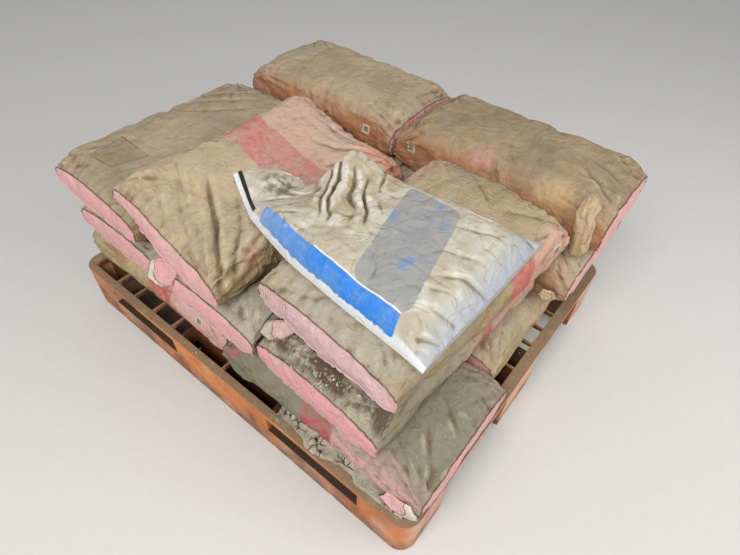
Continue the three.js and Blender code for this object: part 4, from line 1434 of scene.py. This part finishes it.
def coated_film(name):
    """A white plastic bag's film, printed in blue and grey, which gives the eye a faint sheen on its folds.
    Tan cement dust is smeared over it and has settled in its creases, which are darkened further as
    painted shade; its near end is painted a shaded grey, and its edges stay whiter."""
    look = Finish(name)
    add, patches, product, between = look.add, look.patches, look.product, look.between
    printed = add("ShaderNodeSeparateXYZ", {0: add("ShaderNodeUVMap", uv_map="print")}, out=None)
    along, across = printed.outputs["X"], printed.outputs["Y"]
    fold = add("ShaderNodeAttribute", out="Fac", attribute_name="fold")
    hem = add("ShaderNodeAttribute", out="Fac", attribute_name="hem")
    from_left = add("ShaderNodeAttribute", out="Fac", attribute_name="from_left")
    faces_up = add("ShaderNodeMapRange", {0: look.normal.outputs["Z"], 1: 0.1, 2: 0.8})
    waver = add("ShaderNodeTexNoise", {"Vector": look.place, "Scale": 70.0, "Detail": 3.0})

    # Dirt lies on what faces up, thickest in the pleats and on the flap; the edges stay white, and the
    #     near end, which slopes down, is painted a shaded grey and kept clear of dirt
    near_end = add("ShaderNodeMath", {0: waver, 1: 0.03, 2: along}, operation="MULTIPLY_ADD")
    near_end = add("ShaderNodeMapRange", {0: near_end, 1: -0.19, 2: -0.235})
    off_end = add("ShaderNodeMath", {0: 1.0, 1: near_end}, operation="SUBTRACT")
    dirt = product(patches(13.0, 0.34, 0.6, 7, 0.66), faces_up, off_end)
    in_pleats = product(
        between(along, 0.03, 0.2, 0.03),
        between(across, -0.14, 0.06, 0.03),
        patches(26.0, 0.4, 0.6, 6))
    from_smear = look.distance_to(along, across, (0.3, 0.0))
    smear = add("ShaderNodeMapRange", {0: from_smear, 1: 0.052, 2: 0.025}, **SMOOTH)
    smear = product(smear, patches(42.0, 0.4, 0.55, 6))
    white_edge = add("ShaderNodeMapRange", {0: from_left, 1: 0.011, 2: 0.008})
    off_edge = add("ShaderNodeMath", {0: 1.0, 1: white_edge}, operation="SUBTRACT")
    # Creases darkened partly by settled dust and partly as painted shade
    hollow = add("ShaderNodeMapRange", {0: fold, 1: -0.3, 2: -3.0}, **SMOOTH)
    crest = add("ShaderNodeMapRange", {0: fold, 1: 0.5, 2: 3.0}, **SMOOTH)
    colour = look.coats(
        "#C9C6BC",
        ("#B4AC9A", patches(9.0, 0.35, 0.62)),
        ("#988A6C", product(dirt, 0.64)),
        ("#94805C", product(in_pleats, 0.6)),
        ("#64553C", product(smear, 0.88)),
        # painted shade: the sloping near end greyer
        ("#989CA2", near_end),
        ("#CDCECE", white_edge),
        *film_print(look, along, across, from_left, waver),
        # painted shade with settled dust: the creases darkened brown
        ("#665539", product(hollow, off_edge, 0.78)),
        ("#DDD9CF", product(crest, off_edge, 0.5)),
        ("#8F8062", product(patches(90.0, 0.62, 0.7, 3), off_edge, 0.55)),
        ("#1B1A1A", between(hem, 0.009, 0.0165, 0.0006)))

    # Wrinkles about 40 mm across
    wrinkles = add("ShaderNodeTexNoise", {"Vector": look.place, "Scale": 26.0, "Detail": 4.0,
                                          "Roughness": 0.5, "Offset": 1.0, "Distortion": 1.2}, **RIDGED)
    look.shader.inputs["IOR"].default_value = 1.49
    look.shader.inputs["Specular IOR Level"].default_value = 0.35
    roughness = add("ShaderNodeMapRange", {0: dirt, 3: 0.45, 4: 0.8})
    return look.done(colour, roughness, wrinkles, 0.0012)


def moulded_polyethylene(name):
    """Injection-moulded polyethylene, which gives the eye a strong orange with a dull sheen. Cement dust
    has greyed what faces up, forks and boots have rubbed its sides pale, and its cells are darkened
    partly by dirt and partly as painted shade."""
    look = Finish(name)
    add, patches, product, between = look.add, look.patches, look.product, look.between
    here = add("ShaderNodeSeparateXYZ", {0: look.place}, out=None)
    from_middle = [add("ShaderNodeMath", {0: here.outputs[axis]}, operation="ABSOLUTE") for axis in "XY"]
    faces_up = add("ShaderNodeMapRange", {0: look.normal.outputs["Z"], 1: 0.3, 2: 0.8})
    upright = add("ShaderNodeMath", {0: 1.0, 1: faces_up}, operation="SUBTRACT")
    # Scuffs run along the sides: their noise is drawn out to about 8 times its height
    drawn_out = add("ShaderNodeMapping", {"Vector": look.place, "Scale": (7.0, 7.0, 55.0)})
    scuffs = patches(1.0, 0.46, 0.64, 6, 0.7, drawn_out)
    low = add("ShaderNodeMapRange", {0: here.outputs["Z"], 1: 0.07, 2: 0.0})
    # The walls of the cells below the deck's top, to be darkened partly by dirt and partly as painted shade
    inner = product(
        between(from_middle[0], -1, HOLLOWS_WITHIN[0]),
        between(from_middle[1], -1, HOLLOWS_WITHIN[1]),
        add("ShaderNodeMapRange", {0: here.outputs["Z"], 1: 0.1495, 2: 0.14}))
    by_ends = between(from_middle[1], 0.5, 1, 0.05)
    # Its left side is darkened brown as painted shade, and dust has paled its near one
    shaded_left = add("ShaderNodeMapRange", {0: look.normal.outputs["X"], 1: -0.5, 2: -0.9})
    on_near = add("ShaderNodeMapRange", {0: look.normal.outputs["Y"], 1: -0.5, 2: -0.9})
    dust = product(faces_up, patches(9.0, 0.14, 0.46, 8, 0.7))
    # What faces up below the deck's top lies in the cells, where shade is painted along with dirt
    sunk = product(faces_up, add("ShaderNodeMapRange", {0: here.outputs["Z"], 1: 0.149, 2: 0.14}))
    colour = look.coats(
        "#EA8A30",
        ("#C66C26", patches(4.0, 0.35, 0.65)),
        ("#F29638", product(patches(6.0, 0.5, 0.7), 0.8)),
        ("#A07C68", product(upright, scuffs, 0.45)),
        ("#B09484", product(upright, by_ends, scuffs, 0.6)),
        ("#CBA58F", product(upright, patches(7.0, 0.46, 0.6, 7, 0.65), 0.7)),
        # painted shade: faces turned to the left darkened brown
        ("#80491E", product(shaded_left, patches(5.0, 0.3, 0.6, 6), 0.4)),
        ("#CDAE98", product(on_near, patches(6.0, 0.3, 0.6, 7), 0.55)),
        ("#5A3620", product(upright, patches(10.0, 0.5, 0.7, 7), 0.75)),
        ("#4A3626", product(low, patches(30.0, 0.3, 0.6), 0.8)),
        # painted shade with dirt: the walls of the cells darkened
        ("#35241A", product(inner, 0.75)),
        ("#766A54", product(dust, 0.92)),
        ("#8F8570", product(faces_up, patches(45.0, 0.52, 0.7, 6), 0.6)),
        ("#33281E", product(faces_up, patches(24.0, 0.6, 0.7, 6), 0.7)),
        # painted shade with dirt: the floors of the cells darkened
        ("#2E231A", product(sunk, 0.9)))
    grain = add("ShaderNodeTexNoise", {"Vector": look.place, "Scale": 300.0, "Detail": 3.0})
    height = add("ShaderNodeMath", {0: dust, 1: 0.4, 2: grain}, operation="MULTIPLY_ADD")
    roughness = add("ShaderNodeMapRange", {0: dust, 3: 0.5, 4: 0.9})
    look.shader.inputs["IOR"].default_value = 1.5
    look.shader.inputs["Specular IOR Level"].default_value = 0.25
    return look.done(colour, roughness, height, 0.0004)


def set_cement(name, light, dark):
    """Cement that got damp and set, which gives the eye a dull grey crust with sandy grit and dark cracks."""
    look = Finish(name)
    add, patches, product = look.add, look.patches, look.product
    crack = add("ShaderNodeAttribute", out="Fac", attribute_name="crack")
    colour = look.coats(
        light,
        (dark, patches(24.0, 0.35, 0.65, 7)),
        ("#C9C4B6", product(patches(60.0, 0.55, 0.7, 5), 0.7)),
        ("#2A221B", crack))
    grit = add("ShaderNodeTexNoise", {"Vector": look.place, "Scale": 240.0, "Detail": 5.0})
    return look.done(colour, 0.95, grit, 0.0012)


def folded_paper(name, main, other, split):
    """The loose paper of a filling sleeve, which gives the eye two flat tones that meet at a fold, with
    fine creases. The print runs -1 to 1 across it and up it; beyond "split" it has the other tone.
    Painted shade darkens it along the fold and along its left edge, at the mouth of the sleeve."""
    look = Finish(name)
    add, patches, product, between = look.add, look.patches, look.product, look.between
    printed = add("ShaderNodeSeparateXYZ", {0: add("ShaderNodeUVMap", uv_map="print")}, out=None)
    waver = add("ShaderNodeTexNoise", {"Vector": look.place, "Scale": 60.0, "Detail": 3.0})
    across = add("ShaderNodeMath", {0: waver, 1: 0.35, 2: printed.outputs["X"]}, operation="MULTIPLY_ADD")
    beyond = between(across, split + 0.17, 9, 0.03)
    rim = add("ShaderNodeMath", {0: printed.outputs["X"]}, operation="ABSOLUTE")
    colour = look.coats(
        main,
        (other, beyond),
        ("#A9988A", product(patches(40.0, 0.4, 0.7, 6), 0.6)),
        # painted shade along the fold
        ("#4A3A2E", product(between(across, split + 0.12, split + 0.18, 0.02), 0.8)),
        ("#5A4636", product(between(rim, 0.93, 9, 0.02), patches(50.0, 0.3, 0.5), 0.7)),
        # painted shade at the mouth, along the left edge
        ("#2B211A", between(printed.outputs["X"], -9, -0.93, 0.02)))
    creases = add("ShaderNodeTexNoise", {"Vector": look.place, "Scale": 50.0, "Detail": 4.0, "Offset": 1.0,
                                         "Distortion": 1.0}, **RIDGED)
    return look.done(colour, 0.85, creases, 0.0012)


def pale_screed(name):
    """A plain pale floor: one even tone, matt."""
    look = Finish(name)
    grain = look.add("ShaderNodeTexNoise", {"Vector": look.place, "Scale": 40.0})
    return look.done(look.coats("#C9C7C2", ("#C4C2BD", grain)), 0.9, grain, 0.0001)


# How each sack is printed and how dusty it is, in the words of kraft_paper
PLAIN = dict(light="#B8A077", dark="#927A52")
DUSTY = dict(light="#B0A48C", dark="#8F846C", dust=0.9)
PRINTS = {
    "bottom_sack_left_near": dict(
        light="#938C76", dark="#757058", dust=0.95, dust_colour="#7F7A68", film=0.55,
        pink=(-0.33, -0.058), red=(-0.058, 0.036), pink_tone="#DFABA6", bare_top=0.125,
        stains=[((0.27, 0.17), 0.05, "#BF5560")]),
    "bottom_sack_left_far": dict(
        light="#C2AC7C", dark="#A38C62", pink=(-0.33, -0.08), red=(-0.08, 0.02), pink_tone="#DBA4A0",
        square=(-0.2, 0.2), stains=[((0.17, 0.172), 0.07, "#A0603C")]),
    "bottom_sack_right_near": PLAIN,
    "bottom_sack_right_middle": PLAIN,
    "bottom_sack_right_far": PLAIN,
    "middle_sack_near": dict(
        light="#A99B7E", dark="#84785C", dust=0.95, dust_colour="#979282", film=0.4, end_tone="#EBA6AA",
        pink=(0.11, 0.33), red=(0.06, 0.11), bare_top=0.15, square=(0.25, -0.21), soiled=(-0.29, -0.2)),
    "middle_sack_centre": DUSTY,
    "middle_sack_far": DUSTY,
    "middle_sack_right_near": dict(orange=0.6),
    "middle_sack_right_far": dict(orange=0.6),
    "top_sack_near": dict(
        light="#A88B5C", dark="#836C45", dust=0.36, end_tone="#DDB9BB",
        pink=(0.15, 0.33), red=(0.07, 0.15), bare_top=0.15, square=(0.24, -0.22),
        wavy=((0.2, 0.03), 0.15), stains=[((-0.2, -0.02), 0.3, "#A29B8A")]),
    "top_sack_far": dict(
        light="#A48B67", dark="#806A46", dust=0.3,
        patch=[(-0.24, 0.085), (-0.14, 0.1), (-0.145, -0.031), (-0.232, -0.004)]),
    "top_sack_riding": dict(
        light="#B99F77", dark="#957B54", dust=0.45, film=0.1, pink=(0.106, 0.33), red=(-0.008, 0.106),
        stains=[((0.3, -0.2), 0.18, "#CC6A3A"), ((-0.19, -0.185), 0.035, "#A8504A")]),
    # Its paper tones are darker than the other sacks', partly as painted shade
    "top_sack_right_near": dict(
        light="#9A7C50", dark="#765C37", dust=0.22, orange=1.0, square=(0.253, 0.19),
        stains=[((0.05, 0.13), 0.05, "#C07F72"), ((-0.16, 0.145), 0.07, "#B8935A")],
        patch=[(0.283, 0.13), (0.32, 0.13), (0.32, -0.12), (0.252, -0.12)]),
    "top_sack_right_far": dict(light="#AF966E", dark="#8B744E", dust=0.4, orange=1.1, square=(-0.196, 0.19)),
}

# The tones of the loose paper: the main one, the other one, and where across they meet
SLEEVE_TONES = {
    "sleeve_middle_far": ("#D0C6B4", "#D99C9C", -0.5),
    "sleeve_middle_centre": ("#B3A898", "#C6A29F", -0.1),
    "sleeve_bottom_left_near": ("#DFA6AB", "#D2CAB9", 0.42),
    "sleeve_middle_right_near": ("#CDB892", "#BFA47C", 0.5),
    "torn_ear": ("#A97C5C", "#6E503C", 0.4),
}

# The skins, each in the place of its node

spaces = {name: solid_copy(name) for name in [*SACKS, "white_bag"]}
grids = {name: sack_grid(sack, CELLS_ALONG, CELLS_AROUND) for name, sack in SACKS.items()}
grids = filled(grids)

# Seeds are set far enough apart that no two sacks share a crease or a patch of dust
trees = []
for number, (name, sack) in enumerate(SACKS.items()):
    piece = sack_piece(name, sack, grids[name], 30 * number, FOLDS.get(name, ()))
    paper = kraft_paper("kraft_paper_" + name, 7.0 * number, sack.size[0] / 2, **PRINTS[name])
    piece.data.materials.append(paper)
    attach(piece, "root")
    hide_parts(name)
    trees.append(BVHTree.FromObject(piece, bpy.context.evaluated_depsgraph_get()))

piece = bag_piece()
piece.data.materials.append(coated_film("coated_film"))
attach(piece, "root")
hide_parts("white_bag")
trees.append(BVHTree.FromObject(piece, bpy.context.evaluated_depsgraph_get()))

for space in spaces.values():
    bpy.data.objects.remove(space)

# The pallet keeps its node's mesh, with its edges rounded
polyethylene = moulded_polyethylene("moulded_polyethylene")
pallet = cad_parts["pallet"]
pallet.data.materials.clear()
pallet.data.materials.append(polyethylene)
weld = pallet.modifiers.new("joined", "WELD")
weld.merge_threshold = 0.00001
bevel = pallet.modifiers.new("rounded", "BEVEL")
bevel.limit_method = "ANGLE"
bevel.angle_limit = math.radians(40)
bevel.width = 0.0012
bevel.segments = 2
bevel.use_clamp_overlap = False

# What has no node of its own
crust_finish = set_cement("set_cement", "#AFA794", "#857C69")
crumb_finish = set_cement("set_cement_crumbs", "#B9AF98", "#6B5D48")
small = [
    (rim_dots(), polyethylene, "pallet_plastic"),
    (cement_crust(), crust_finish, "sack_paper"),
    (cement_crumbs(trees), crumb_finish, "sack_paper"),
    (paper_roll(), folded_paper("folded_paper_roll", "#B39A74", "#A88B64", 2.0), "sack_paper"),
]
for number, (name, shape) in enumerate(SLEEVES.items()):
    piece = sleeve(name, 700 + 10 * number, **shape)
    small.append((piece, folded_paper("folded_paper_" + name, *SLEEVE_TONES[name]), "sack_paper"))
for piece, finish, slot in small:
    piece.data.materials.append(finish)
    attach(piece, "root")

# Floor, light and camera

bpy.ops.mesh.primitive_plane_add(size=12, location=(0, 0, 0))
floor = bpy.context.object
floor.name = "floor"
floor.data.materials.append(pale_screed("pale_screed"))

world = bpy.data.worlds.new("studio")
bpy.context.scene.world = world
world.use_nodes = True
world.node_tree.nodes["Background"].inputs["Color"].default_value = linear("#EEF0F4")
world.node_tree.nodes["Background"].inputs["Strength"].default_value = 0.6
bpy.context.scene.view_settings.view_transform = "Standard"

# Each lamp's place, the side of its square in metres and its power in watts; both face the stack's middle
LAMPS = {
    "key_light": ((-2.0, -0.6, 2.8), 1.3, 78),
    "fill_light": ((0.4, -2.6, 1.9), 2.2, 43),
}
LIT_AT = (0, 0, 0.3)
for name, (place, size, power) in LAMPS.items():
    light = bpy.data.lights.new(name, "AREA")
    light.size = size
    light.energy = power
    lamp = bpy.data.objects.new(name, light)
    lamp.location = place
    lamp.rotation_euler = (Vector(LIT_AT) - Vector(place)).to_track_quat("-Z", "Y").to_euler()
    bpy.context.collection.objects.link(lamp)


def photo_camera():
    """The camera of the photograph: yaw from +Y towards +X, pitch down, then roll."""
    ahead = Vector((math.sin(CAMERA_YAW), math.cos(CAMERA_YAW), 0))
    forward = ahead * math.cos(CAMERA_PITCH) - Vector((0, 0, math.sin(CAMERA_PITCH)))
    level = Vector((math.cos(CAMERA_YAW), -math.sin(CAMERA_YAW), 0))
    down = forward.cross(level)
    right = level * math.cos(CAMERA_ROLL) + down * math.sin(CAMERA_ROLL)
    below = down * math.cos(CAMERA_ROLL) - level * math.sin(CAMERA_ROLL)
    lens = bpy.data.cameras.new("photo_camera")
    lens.sensor_width = SENSOR
    lens.lens = FOCAL_PIXELS * SENSOR / PHOTO_WIDTH
    camera = bpy.data.objects.new("photo_camera", lens)
    turned = Matrix((right, -below, -forward)).transposed()
    camera.matrix_world = Matrix.Translation(CAMERA_AT) @ turned.to_4x4()
    bpy.context.collection.objects.link(camera)
    bpy.context.scene.camera = camera


photo_camera()
